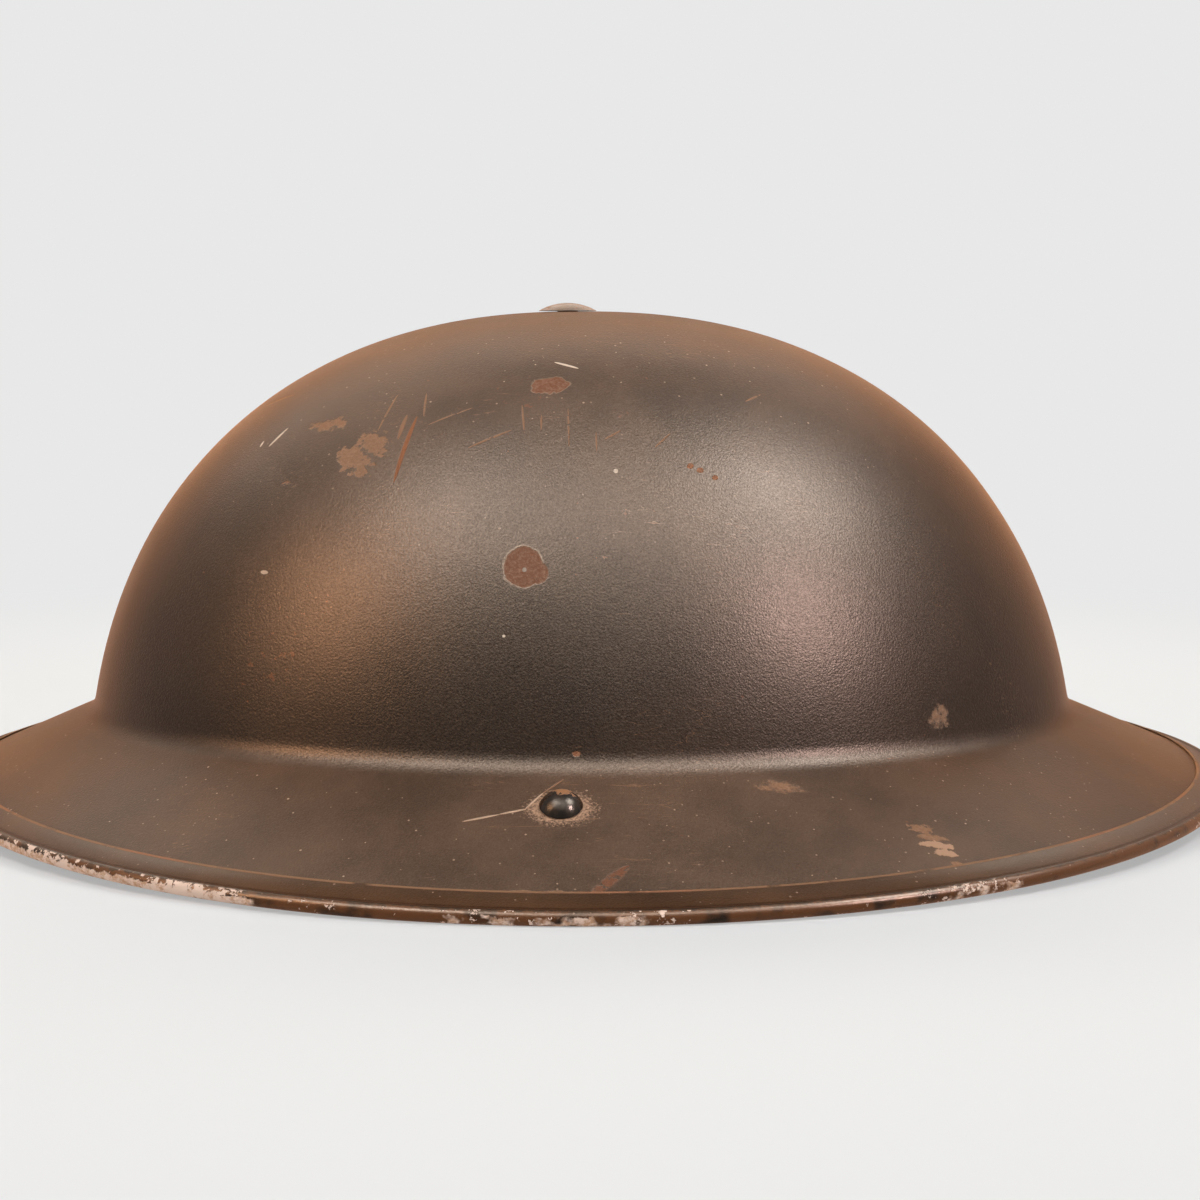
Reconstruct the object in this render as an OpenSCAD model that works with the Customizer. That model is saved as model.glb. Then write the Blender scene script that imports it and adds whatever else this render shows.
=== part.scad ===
// Steel brimmed helmet of a fire warden: pressed shell, rim strip, riveted strap lugs,
// crown screw, fibre liner on rubber buffers, and a two-part webbing chin strap.
// Millimetres. Origin at the middle of the rim on the table, +X to the front, +Y to the
// wearer's left, +Z up. The chin strap lies on the table inside the bowl.

/* [Shell] */
// Length over the rim strip, front to back
rim_length = 312; // [300:1:324]
// Width over the rim strip, side to side
rim_width = 292; // [284:1:300]
// How much higher the rim stands at front and back than at the sides
rim_lift = 4; // [0:0.5:8]
// Length of the dome at the crease where the brim begins
dome_length = 239; // [234:1:246]
// Width of the dome at the crease
dome_width = 202; // [198:1:208]
// Height of the dome's top
dome_top = 116.6; // [112:0.2:124]
// Height at which the dome's curve would be upright
dome_base = -4.9; // [-12:0.1:0]
// Fullness of the dome's curve, where 2 is an ellipse
dome_power = 2.26; // [2.16:0.02:2.36]
// Height of the crease at front and back
crease_front = 21; // [19:0.5:23]
// Height of the crease at the sides
crease_side = 22.5; // [21:0.5:25]
// Reach of the bend on each side of the crease
crease_bend = 3.6; // [2:0.2:5]
// How far the dome's centre lies behind the rim's centre
dome_back = 0.8; // [0:0.2:2]
// Thickness of the steel
shell_wall = 1; // [0.8:0.1:1.2]

/* [Rim strip] */
// Thickness of the strip
strip_wall = 0.45; // [0.35:0.05:0.55]
// Radius of the bead round the shell's edge
bead_r = 1.6; // [1.5:0.05:1.9]
// Reach of the strip's upper leg in from the shell's edge
strip_top_leg = 6.8; // [5:0.2:9]
// Reach of the strip's lower leg
strip_low_leg = 5; // [4:0.2:7]
// Gap between the strip's two ends at the back
strip_joint = 0.6; // [0.4:0.1:1.5]

/* [Crown fastening] */
// How far the crown screw and the side rivets lie behind the rim's centre
screw_back = 4.2; // [2:0.2:6]
// Radius of the screw's head
screw_head_r = 7.2; // [6:0.2:9]
// Height of the screw's head
screw_head_h = 2; // [1.6:0.1:3]
// Width of the slot in the screw's head
slot_w = 1.4; // [1:0.1:1.8]
// Depth of the slot in the screw's head
slot_depth = 0.9; // [0.6:0.1:1.2]
// Radius of the screw's shank
screw_r = 2.5; // [2:0.1:3]
// Outer radius of the rubber spacer
spacer_r = 7; // [6:0.5:9]
// Radius of the steel plate under the straps
plate_r = 11; // [9:0.5:12]
// Thickness of the steel plate
plate_h = 1; // [0.8:0.1:1.6]
// Width of the nut across its flats
nut_flats = 9; // [8:0.5:11]
// Height of the nut
nut_h = 4; // [3:0.2:4.6]

/* [Liner] */
// Room for liner and buffers between the head and the crease, at front and back
head_room_x = 21; // [20:0.5:24.5]
// Room for liner and buffers between the head and the crease, at the sides
head_room_y = 22; // [20.5:0.5:25]
// Thickness of the sweatband's cloth
sweatband_wall = 2; // [1.4:0.2:2.4]
// Thickness of the fibre headband
band_wall = 1.2; // [0.8:0.1:1.6]
// Height of the headband's lower edge
band_bottom = 17.5; // [16:0.5:20]
// Height of the headband, edge to edge
band_height = 34; // [32:1:37]
// Thickness of the fibre crown straps
liner_strap_wall = 1.2; // [0.8:0.1:1.6]
// Width of the crown straps
liner_strap_w = 20; // [16:1:22]
// Length of the crown straps' ends along the headband
liner_strap_tail = 15; // [12:1:18]
// Air between the shell and the crown straps at the top
crown_air = 8.5; // [7:0.5:12]
// Thickness of the crown pad
pad_wall = 9; // [8:0.5:12]
// Width of the crown pad's arms
pad_arm_w = 34; // [30:1:40]
// Reach of the pad's front and back arms
pad_reach_x = 52; // [44:1:58]
// Reach of the pad's side arms
pad_reach_y = 44; // [38:1:48]

/* [Buffers] */
// Width of a rubber buffer along the headband
buffer_w = 20; // [16:1:22]
// Height of a buffer
buffer_h = 20; // [16:1:22]
// Wall of a buffer's tube
buffer_wall = 2; // [1.6:0.1:2.4]
// Radius of the liner's rivets
liner_rivet_r = 1.5; // [1.2:0.1:1.8]

/* [Strap lugs] */
// Distance of each lug rivet out from the crease
rivet_out = 12; // [10:0.5:15]
// Radius of the rivet's round head
rivet_head_r = 4.5; // [4:0.1:5.5]
// Height of the rivet's round head
rivet_head_h = 3; // [2.4:0.1:3.6]
// Radius of the rivet's shank
rivet_r = 2; // [1.6:0.1:2.4]
// Width of the lug
lug_w = 15; // [12:1:17]
// Thickness of one leaf of the lug
lug_leaf = 0.9; // [0.7:0.1:1.1]
// Reach of the lug from its rivet to its outer end
lug_reach = 6.5; // [5.5:0.5:8]
// Distance from the rivet to the middle of the lug's barrel
barrel_back = 8.5; // [8:0.25:9.5]
// Radius of the loops' and the buckle's wire
wire_r = 1.1; // [0.9:0.05:1.2]
// Lean of the hanging loops from upright
loop_lean = 24; // [16:1:32]

/* [Chin strap] */
// Width of the webbing
webbing_w = 19; // [16:1:20]
// Thickness of the webbing
webbing_wall = 1.8; // [1.4:0.1:2]
// Height of the lying webbing above the table
webbing_lift = 0.45; // [0.4:0.05:0.8]
// Length of the straight webbing at each loop
webbing_lead = 14; // [12:1:18]
// Angle at which each half lies away from the other
webbing_skew = 10; // [9:0.5:12]
// Length of the buckle half past its lead
left_run = 60; // [50:1:66]
// Length of the holed half past its lead
right_run = 148; // [130:1:152]
// Length of the doubled and sewn webbing at each eye
sewn_length = 20; // [16:1:24]
// Number of holes for the buckle's tongue
hole_count = 6; // [3:1:8]
// Distance between these holes
hole_pitch = 13; // [10:1:15]
// Length of the metal tip
tip_length = 11; // [8:1:14]
// Distance between the buckle's two cross bars
buckle_length = 17; // [14:1:20]
// Width of the tongue
tongue_w = 2.6; // [2:0.2:3]

/* [Clearances] */
// Between the strip and the steel inside it
strip_gap = 0.08; // [0.06:0.01:0.12]
// Between flat pieces that are clamped together
seat_gap = 0.05; // [0.04:0.01:0.1]
// Between curved pieces that lie on each other
lie_gap = 0.3; // [0.2:0.05:0.5]
// Between a fastener and the sides of its hole
hole_gap = 0.15; // [0.1:0.05:0.2]
// Between a wire and the bore that it turns in
pivot_gap = 0.08; // [0.05:0.01:0.1]
// Between a wire and the webbing round it
eye_gap = 0.25; // [0.2:0.05:0.3]
// Between the loop's or buckle's sides and the webbing
side_gap = 1; // [0.8:0.1:1.5]
// Between sweatband and headband, for the rivets' inner heads
band_gap = 1; // [1:0.1:1.4]

/* [Hidden] */
quadrant_angles = [22, 47, 72];
buffer_angles = [for (k = [0:3], q = quadrant_angles) k % 2 == 0 ? 90 * k + q : 90 * (k + 1) - q];
$fn = 48;

azimuth_steps = 72;
dome_rings = 13;
bend_rings = 4;
brim_rings = 3;
skin_rings = dome_rings + bend_rings + brim_rings;
arch_steps = 12;
strip_arc_steps = 8;
past = 1; // how far a cutter runs past what it cuts

// Shell: the outer skin is skin(azimuth, ring), where ring may be a fraction.

dome_rise = dome_top - dome_base;
function dome_share(z) =
    pow(1 - pow((z - dome_base) / dome_rise, dome_power), 1 / dome_power);
dome_a = dome_length / 2 / dome_share(crease_front);
dome_b = dome_width / 2 / dome_share(crease_side);
function unit(v) = v / norm(v);
function mix(p, q, s) = p + (q - p) * s;
function dome_point(phi, share, z) =
    [dome_a * share * cos(phi) - dome_back, dome_b * share * sin(phi), z];
function crease_z(phi) = crease_side + (crease_front - crease_side) * pow(cos(phi), 2);
function crease(phi) = dome_point(phi, dome_share(crease_z(phi)), crease_z(phi));
function edge_middle(phi) =
    [(rim_length / 2 - bead_r) * cos(phi), (rim_width / 2 - bead_r) * sin(phi),
     bead_r + rim_lift * pow(cos(phi), 2)];
function brim_normal(phi) =
    let (d = edge_middle(phi) - crease(phi), run = norm([d.x, d.y]))
    unit([-d.x * d.z / run, -d.y * d.z / run, run]);
function edge(phi) = edge_middle(phi) + brim_normal(phi) * shell_wall / 2;
function bend_top(phi) =
    let (z = crease_z(phi) + crease_bend) dome_point(phi, dome_share(z), z);
function bend_foot(phi) =
    crease(phi) + unit(edge(phi) - crease(phi)) * crease_bend;
function dome_part(phi, s) =
    let (z_low = crease_z(phi) + crease_bend,
         t = s * asin(pow(dome_share(z_low), dome_power / 2)))
    dome_point(phi, pow(sin(t), 2 / dome_power),
               dome_base + dome_rise * pow(cos(t), 2 / dome_power));
function bend_part(phi, s) =
    mix(mix(bend_top(phi), crease(phi), s), mix(crease(phi), bend_foot(phi), s), s);
function skin(phi, ring) =
    ring <= dome_rings ? dome_part(phi, ring / dome_rings)
    : ring <= dome_rings + bend_rings ? bend_part(phi, (ring - dome_rings) / bend_rings)
    : mix(bend_foot(phi), edge(phi), (ring - dome_rings - bend_rings) / brim_rings);
function skin_normal(phi, ring) =
    let (low = max(ring - 0.2, 0.05), high = min(ring + 0.2, skin_rings))
    ring == 0 ? [0, 0, 1]
    : unit(cross(skin(phi, high) - skin(phi, low), skin(phi + 1, ring) - skin(phi - 1, ring)));
function inner_skin(phi, ring) = skin(phi, ring) - skin_normal(phi, ring) * shell_wall;

// A closed solid from rows of points that each go once round, with a point at each end.
module capped_rings(first, rows, last) {
    steps = len(rows[0]);
    points = concat([first], [for (row = rows) for (p = row) p], [last]);
    end = len(points) - 1;
    function at(r, i) = 1 + r * steps + i % steps;
    faces = concat(
        [for (i = [0:steps - 1]) [0, at(0, i + 1), at(0, i)]],
        [for (r = [0:len(rows) - 2], i = [0:steps - 1]) [at(r, i), at(r, i + 1), at(r + 1, i)]],
        [for (r = [0:len(rows) - 2], i = [0:steps - 1])
            [at(r, i + 1), at(r + 1, i + 1), at(r + 1, i)]],
        [for (i = [0:steps - 1]) [end, at(len(rows) - 1, i), at(len(rows) - 1, i + 1)]]);
    polyhedron(points, faces);
}

azimuths = [for (i = [0:azimuth_steps - 1]) 360 * i / azimuth_steps];
screw_bore_r = screw_r + hole_gap;
rivet_bore_r = rivet_r + hole_gap;

module shell() {
    color([0.17, 0.15, 0.13])
    difference() {
        capped_rings(
            [-dome_back, 0, dome_top],
            concat([for (r = [1:skin_rings]) [for (a = azimuths) skin(a, r)]],
                   [for (r = [skin_rings:-1:1]) [for (a = azimuths) inner_skin(a, r)]]),
            [-dome_back, 0, dome_top - shell_wall]);
        translate([-screw_back, 0, dome_top - 4 * shell_wall])
            cylinder(h = 8 * shell_wall, r = screw_bore_r);
        for (side = [0, 1]) on_brim(side)
            translate([0, 0, -3 * shell_wall]) cylinder(h = 6 * shell_wall, r = rivet_bore_r);
    }
}

// Rim strip: a folded section swept along the shell's edge, open at the back.

strip_in = shell_wall / 2 + strip_gap;
strip_out = strip_in + strip_wall;
function bead_arc(r, v, turn) =
    let (a = 180 - asin(v / r))
    [for (i = [0:strip_arc_steps]) let (t = turn * a * (1 - 2 * i / strip_arc_steps))
        r * [cos(t), sin(t)]];
strip_section = concat(
    [[-strip_top_leg, strip_out]], bead_arc(bead_r, strip_out, 1),
    [[-strip_low_leg, -strip_out], [-strip_low_leg, -strip_in]],
    bead_arc(bead_r - strip_wall, strip_in, -1), [[-strip_top_leg, strip_in]]);
function strip_ring(phi) =
    let (n = brim_normal(phi), out = unit(edge_middle(phi) - crease(phi)))
    [for (p = strip_section) edge_middle(phi) + out * p.x + n * p.y];
strip_half_turn = 180 - strip_joint / rim_width / PI * 180;

module rim_strip() {
    rings = [for (i = [0:azimuth_steps])
        strip_ring(strip_half_turn * (2 * i / azimuth_steps - 1))];
    n = len(strip_section);
    points = [for (ring = rings) for (p = ring) p];
    function at(r, i) = r * n + i % n;
    color([0.24, 0.19, 0.15])
    polyhedron(points, concat(
        [[for (i = [n - 1:-1:0]) i]],
        [for (r = [0:azimuth_steps - 1], i = [0:n - 1]) [at(r, i), at(r, i + 1), at(r + 1, i)]],
        [for (r = [0:azimuth_steps - 1], i = [0:n - 1])
            [at(r + 1, i), at(r, i + 1), at(r + 1, i + 1)]],
        [[for (i = [0:n - 1]) at(azimuth_steps, i)]]));
}

// Crown fastening: from the head down through shell, spacer, both straps, plate and nut.

head_length = dome_length - 2 * head_room_x;
head_width = dome_width - 2 * head_room_y;
liner_rise = dome_rise - shell_wall - crown_air;
flat_half = pad_arm_w / 2;
band_top = band_bottom + band_height;
band_in_a = head_length / 2 + sweatband_wall + band_gap;
band_in_b = head_width / 2 + sweatband_wall + band_gap;
band_out_a = band_in_a + band_wall;
band_out_b = band_in_b + band_wall;
function arch_share(z, rise) =
    pow(1 - pow((z - dome_base) / rise, dome_power), 1 / dome_power);
function arch_height(x, a, rise) =
    dome_base + rise * pow(1 - pow(x / a, dome_power), 1 / dome_power);
long_out = band_out_a + seat_gap + liner_strap_wall;
cross_out = band_out_b + seat_gap + liner_strap_wall;
long_flat = arch_height(flat_half, long_out / arch_share(band_top, liner_rise), liner_rise);
long_under = long_flat - liner_strap_wall;
cross_flat = long_under - seat_gap;
cross_under = cross_flat - liner_strap_wall;
plate_top = cross_under - seat_gap;
nut_top = plate_top - plate_h - seat_gap;
screw_end = nut_top - nut_h - 0.5;
pad_top = cross_under - lie_gap;
pad_pocket = screw_end - 0.7;
crown_inside = inner_skin(180, 0).z;

screw_lip = 0.2;
module on_crown(z) { translate([-screw_back, 0, z]) children(); }

module crown_screw() {
    color([0.22, 0.18, 0.14]) {
        on_crown(dome_top + seat_gap) difference() {
            rotate_extrude() intersection() {
                crown_r = (pow(screw_head_r, 2) + pow(screw_head_h, 2)) / (2 * screw_head_h);
                translate([0, screw_head_h - crown_r]) circle(crown_r, $fn = 160);
                square([screw_head_r - screw_lip, screw_head_h]);
            }
            translate([-screw_head_r, -slot_w / 2, screw_head_h - slot_depth])
                cube([2 * screw_head_r, slot_w, screw_head_h]);
        }
        on_crown(screw_end) cylinder(h = dome_top + seat_gap - screw_end + 0.2, r = screw_r);
    }
}

module crown_spacer() {
    color([0.1, 0.1, 0.1]) on_crown(long_flat + seat_gap) difference() {
        h = crown_inside - lie_gap - seat_gap - long_flat;
        cylinder(h = h, r = spacer_r);
        translate([0, 0, -past]) cylinder(h = h + 2 * past, r = screw_bore_r);
    }
}

module crown_plate() {
    color([0.45, 0.45, 0.44]) on_crown(plate_top - plate_h) difference() {
        cylinder(h = plate_h, r = plate_r);
        translate([0, 0, -past]) cylinder(h = plate_h + 2 * past, r = screw_bore_r);
    }
}

module crown_nut() {
    color([0.6, 0.52, 0.3]) on_crown(nut_top - nut_h) difference() {
        cylinder(h = nut_h, r = nut_flats / 2 / cos(30), $fn = 6);
        translate([0, 0, -past]) cylinder(h = nut_h + 2 * past, r = screw_r + seat_gap);
    }
}

// Liner: straps and pad are upright arches over the head, the bands are ovals round it.

// Half outline of an arch whose flat top is at height flat and whose leg stands at x = out.
function arch_half(out, flat, end_x, tail_z) =
    let (rise = liner_rise + flat - long_flat,
         a = out / arch_share(band_top, rise),
         raise = flat - arch_height(flat_half, a, rise),
         from = asin(pow(flat_half / a, dome_power / 2)),
         to = asin(pow(min(end_x, out) / a, dome_power / 2)))
    concat([for (i = [0:arch_steps]) let (t = from + (to - from) * i / arch_steps)
                [a * pow(sin(t), 2 / dome_power),
                 dome_base + rise * pow(cos(t), 2 / dome_power)
                 + raise * (1 - i / arch_steps)]],
           tail_z == undef ? [] : [[out, tail_z]]);
function reversed(list) = [for (i = [len(list) - 1:-1:0]) list[i]];
function flipped(list) = [for (p = list) [-p.x, p.y]];
function arch_outline(outer, inner) =
    concat(outer, reversed(inner), flipped(inner), reversed(flipped(outer)));

// An arch of the given width that spans X, or Y when across is true.
module arch(outer, inner, width, across = false) {
    rotate([90, 0, across ? 90 : 0]) translate([0, 0, -width / 2])
        linear_extrude(width) polygon(arch_outline(outer, inner));
}

tail_end = band_top - liner_strap_tail;
strap_rivet_z = band_top - liner_strap_tail / 2;
rivet_head = 0.7;

module strap_rivet_bores() {
    for (side = [-1, 1]) {
        translate([-dome_back, 0, strap_rivet_z]) rotate([0, 90 * side, 0])
            cylinder(h = rim_length / 2, r = liner_rivet_r + hole_gap);
        translate([-screw_back, 0, strap_rivet_z]) rotate([90 * side, 0, 0])
            cylinder(h = rim_width / 2, r = liner_rivet_r + hole_gap);
    }
}

module screw_bore() {
    on_crown(pad_pocket) cylinder(h = dome_top - pad_pocket, r = screw_bore_r);
}

module long_crown_strap() {
    color([0.36, 0.22, 0.14]) difference() {
        translate([-dome_back, 0, 0])
            arch(arch_half(long_out, long_flat, long_out, tail_end),
                 arch_half(long_out - liner_strap_wall, long_under,
                           long_out - liner_strap_wall, tail_end), liner_strap_w);
        screw_bore();
        strap_rivet_bores();
    }
}

module cross_crown_strap() {
    color([0.38, 0.24, 0.15]) difference() {
        translate([-screw_back, 0, 0])
            arch(arch_half(cross_out, cross_flat, cross_out, tail_end),
                 arch_half(cross_out - liner_strap_wall, cross_under,
                           cross_out - liner_strap_wall, tail_end), liner_strap_w, true);
        screw_bore();
        strap_rivet_bores();
    }
}

module crown_pad() {
    pad_low = pad_top - pad_wall;
    color([0.11, 0.1, 0.1]) difference() {
        translate([-screw_back, 0, 0]) union() {
            arch(arch_half(long_out - liner_strap_wall, pad_top, pad_reach_x),
                 arch_half(long_out - pad_wall, pad_low, pad_reach_x - 1), pad_arm_w);
            arch(arch_half(cross_out - liner_strap_wall - lie_gap, pad_top, pad_reach_y),
                 arch_half(cross_out - pad_wall, pad_low, pad_reach_y - 1), pad_arm_w, true);
        }
        on_crown(pad_pocket) cylinder(h = pad_wall, r = plate_r + 1.5);
    }
}

module oval(a, b) {
    polygon([for (p = azimuths) [a * cos(p), b * sin(p)]]);
}

// An upright oval ring from z = low to z = high, its wall from inner to outer beyond a and b.
module oval_ring(a, b, inner, outer, low, high) {
    translate([-dome_back, 0, low]) linear_extrude(high - low) difference() {
        oval(a + outer, b + outer);
        oval(a + inner, b + inner);
    }
}

// Puts its children on the headband's outer face, +X outwards, at height z.
module on_band(angle, z) {
    out = atan2(sin(angle) / band_out_b, cos(angle) / band_out_a);
    translate([band_out_a * cos(angle) - dome_back, band_out_b * sin(angle), z])
        rotate([0, 0, out]) children();
}

buffer_z = band_bottom + (band_height - buffer_h) / 2;
buffer_mid = buffer_z + buffer_h / 2;

module headband() {
    color([0.4, 0.25, 0.16]) difference() {
        oval_ring(band_in_a, band_in_b, 0, band_wall, band_bottom, band_top);
        strap_rivet_bores();
        for (angle = buffer_angles) on_band(angle, buffer_mid) rotate([0, 90, 0])
            translate([0, 0, -3 * band_wall])
                cylinder(h = 6 * band_wall, r = liner_rivet_r + hole_gap);
    }
}

fold_z = band_bottom - lie_gap;
module sweatband() {
    over = band_out_a - head_length / 2 + lie_gap;
    color([0.1, 0.09, 0.09]) union() {
        oval_ring(head_length / 2, head_width / 2, 0, sweatband_wall,
                  fold_z - sweatband_wall / 2, band_top);
        oval_ring(head_length / 2, head_width / 2, 0, over + sweatband_wall / 2,
                  fold_z - sweatband_wall / 2, fold_z);
        oval_ring(head_length / 2, head_width / 2, over, over + sweatband_wall / 2,
                  fold_z - sweatband_wall / 2, fold_z + 5);
    }
}

module crown_strap_rivets() {
    grip = band_wall + seat_gap + liner_strap_wall;
    color([0.55, 0.5, 0.36])
    for (k = [0:3]) {
        aside = pow((screw_back - dome_back) / band_in_a, 2);
        reach = k % 2 == 0 ? band_in_a : band_in_b * sqrt(1 - aside);
        middle = k % 2 == 0 ? dome_back : screw_back;
        translate([-middle, 0, strap_rivet_z]) rotate([0, 90, 90 * k])
            translate([0, 0, reach - rivet_head]) {
                cylinder(h = rivet_head - 3 * seat_gap, r = 2 * liner_rivet_r);
                cylinder(h = grip + 2 * rivet_head, r = liner_rivet_r);
                translate([0, 0, grip + rivet_head + seat_gap])
                    cylinder(h = rivet_head, r = 2 * liner_rivet_r);
            }
    }
}

// Free depth between headband and shell at a buffer's upper edge, along the band's normal.
function buffer_room(angle) =
    let (share = dome_share(buffer_z + buffer_h),
         a = dome_a * share - 1.1 * shell_wall, b = dome_b * share - 1.1 * shell_wall,
         n = unit([cos(angle) / band_out_a, sin(angle) / band_out_b]),
         x = band_out_a * cos(angle), y = band_out_b * sin(angle),
         k = pow(n.x / a, 2) + pow(n.y / b, 2), h = x * n.x / a / a + y * n.y / b / b,
         c = pow(x / a, 2) + pow(y / b, 2) - 1)
    (sqrt(h * h - k * c) - h) / k;

module buffer(i) {
    angle = buffer_angles[i - 1];
    depth = buffer_room(angle) - 3 * lie_gap;
    half = (buffer_w - depth) / 2;
    module outline(inset) {
        square([depth - 2 * inset, 2 * half], center = true);
        for (y = [-half, half]) translate([0, y]) circle(depth / 2 - inset);
    }
    color([0.14, 0.13, 0.13]) on_band(angle, buffer_z) translate([depth / 2 + lie_gap, 0, 0])
        difference() {
            linear_extrude(buffer_h) difference() {
                outline(0);
                outline(buffer_wall);
            }
            translate([0, 0, buffer_h / 2]) rotate([0, -90, 0])
                cylinder(h = depth, r = liner_rivet_r + hole_gap);
        }
}

module buffer_rivets() {
    grip = band_wall + lie_gap + buffer_wall;
    color([0.55, 0.5, 0.36])
    for (angle = buffer_angles) on_band(angle, buffer_mid) rotate([0, 90, 0])
        translate([0, 0, -band_wall - rivet_head]) {
            cylinder(h = rivet_head - 2 * seat_gap, r = 2 * liner_rivet_r);
            cylinder(h = grip + 2 * rivet_head, r = liner_rivet_r);
            translate([0, 0, grip + rivet_head + seat_gap])
                cylinder(h = rivet_head, r = 1.6 * liner_rivet_r);
        }
}

// Strap lugs: on_brim puts its children on the brim's outer face at a side rivet,
// +Y down the brim's slope and +Z out of it. Side 0 is the left and side 1 the right.

side_foot = crease(90);
side_edge = edge(90);
brim_slope = atan2(side_foot.z - side_edge.z, side_edge.y - side_foot.y);
rivet_y = dome_width / 2 + rivet_out;
rivet_z = side_foot.z - (rivet_y - side_foot.y) * tan(brim_slope);
module on_side(side) { mirror([0, side, 0]) children(); }
module on_brim(side) {
    on_side(side) translate([-screw_back, rivet_y, rivet_z]) rotate([-brim_slope, 0, 0])
        children();
}

brim_gap = 3 * seat_gap;
barrel_bore_r = wire_r + pivot_gap;
barrel_r = barrel_bore_r + lug_leaf;
leaf_top = -shell_wall - brim_gap;
barrel_drop = leaf_top - barrel_r;

module lug(side) {
    color([0.25, 0.22, 0.19]) on_brim(side) difference() {
        union() {
            translate([-lug_w / 2, -barrel_back, leaf_top - 2 * lug_leaf])
                cube([lug_w, barrel_back + lug_reach, 2 * lug_leaf]);
            translate([-lug_w / 2, -barrel_back, barrel_drop]) rotate([0, 90, 0])
                cylinder(h = lug_w, r = barrel_r);
        }
        translate([-lug_w, -barrel_back, barrel_drop]) rotate([0, 90, 0])
            cylinder(h = 2 * lug_w, r = barrel_bore_r);
        translate([0, 0, leaf_top - 4 * lug_leaf]) cylinder(h = 6 * lug_leaf, r = rivet_bore_r);
    }
}

module lug_rivet(side) {
    tail = 1.4;
    grip = -leaf_top + 2 * lug_leaf;
    color([0.13, 0.12, 0.11]) on_brim(side) {
        translate([0, 0, brim_gap]) rotate_extrude() intersection() {
            round_r = (pow(rivet_head_r, 2) + pow(rivet_head_h, 2)) / (2 * rivet_head_h);
            translate([0, rivet_head_h - round_r]) circle(round_r, $fn = 96);
            square([rivet_head_r, rivet_head_h]);
        }
        translate([0, 0, -grip - tail]) cylinder(h = grip + tail + brim_gap + 0.2, r = rivet_r);
        translate([0, 0, -grip - tail - seat_gap]) cylinder(h = tail, r = 1.6 * rivet_r);
    }
}

// Loops and straps, drawn for the left side and mirrored for the right one.

barrel_y = rivet_y - barrel_back * cos(brim_slope) + barrel_drop * sin(brim_slope);
barrel_z = rivet_z + barrel_back * sin(brim_slope) + barrel_drop * cos(brim_slope);
eye_in_r = wire_r + eye_gap;
eye_r = eye_in_r + webbing_wall;
eye_z = eye_r + webbing_lift;
loop_length = (barrel_z - eye_z) / cos(loop_lean);
eye_y = barrel_y - loop_length * sin(loop_lean);
frame_half = webbing_w / 2 + side_gap + wire_r;

// A rectangle of round wire: one bar on the X axis, the other at y = -length.
module wire_frame(length) {
    for (y = [0, -length]) translate([-frame_half, y, 0]) rotate([0, 90, 0])
        cylinder(h = 2 * frame_half, r = wire_r);
    for (x = [-frame_half, frame_half]) {
        translate([x, 0, 0]) rotate([90, 0, 0]) cylinder(h = length, r = wire_r);
        for (y = [0, -length]) translate([x, y, 0]) sphere(wire_r);
    }
}

module strap_loop(side) {
    color([0.5, 0.5, 0.48]) on_side(side) translate([-screw_back, barrel_y, barrel_z])
        rotate([90 - loop_lean, 0, 0]) wire_frame(loop_length);
}

// Webbing folded round a wire at the origin and sewn to itself, running to y = -length.
module webbing_eye(length, sewn) {
    rotate([90, 0, 90]) translate([0, 0, -webbing_w / 2]) linear_extrude(webbing_w)
        difference() {
            union() {
                circle(eye_r);
                translate([-length, -eye_r]) square([length, webbing_wall]);
                translate([-sewn, webbing_wall - eye_r]) square([sewn, webbing_wall]);
            }
            circle(eye_in_r);
        }
}

// One strap half: its eye at the loop, a straight lead, and a run that turns aside.
// Children are flat shapes to cut from the run, drawn from the turn with -Y along it.
module strap_half(side, run) {
    turn = side == 0 ? webbing_skew : -webbing_skew;
    corner = webbing_w / 2 * [1, tan(turn / 2)];
    half = webbing_w / 2 * [cos(turn), sin(turn)];
    end = run * [sin(turn), -cos(turn)];
    on_side(side) translate([-screw_back, eye_y, eye_z]) {
        webbing_eye(webbing_lead, webbing_lead);
        translate([0, -webbing_lead, -eye_r]) linear_extrude(webbing_wall) difference() {
            polygon([[webbing_w / 2, webbing_wall], corner, end + half, end - half, -corner,
                     [-webbing_w / 2, webbing_wall]]);
            rotate(turn) children();
        }
    }
}

module chin_strap_left() {
    color([0.36, 0.31, 0.22]) difference() {
        union() {
            strap_half(0, left_run - sewn_length / 2);
            on_buckle() rotate([0, 0, 180]) webbing_eye(sewn_length, sewn_length);
        }
        on_buckle() translate([-tongue_slot / 2, -2 * eye_r, -2 * eye_r])
            cube([tongue_slot, 3 * eye_r + eye_gap, 4 * eye_r]);
    }
}

module chin_strap_right() {
    color([0.36, 0.31, 0.22]) strap_half(1, right_run)
        for (k = [0:hole_count - 1])
            translate([0, -right_run + 2 * tip_length + k * hole_pitch])
                circle(wire_r + hole_gap + side_gap / 4);
}

module strap_tip() {
    tip_wall = 0.35;
    on_right_run() color([0.55, 0.5, 0.36]) difference() {
        translate([-webbing_w / 2 - tip_wall, -right_run - tip_wall - seat_gap,
                   -eye_r - tip_wall - seat_gap / 2])
            cube([webbing_w + 2 * tip_wall, tip_length,
                  webbing_wall + 2 * tip_wall + seat_gap]);
        translate([-webbing_w / 2 - seat_gap, -right_run - seat_gap, -eye_r - seat_gap / 2])
            cube([webbing_w + 2 * seat_gap, 2 * tip_length, webbing_wall + seat_gap]);
    }
}
module on_right_run() {
    on_side(1) translate([-screw_back, eye_y - webbing_lead, eye_z])
        rotate([0, 0, -webbing_skew]) children();
}

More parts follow.
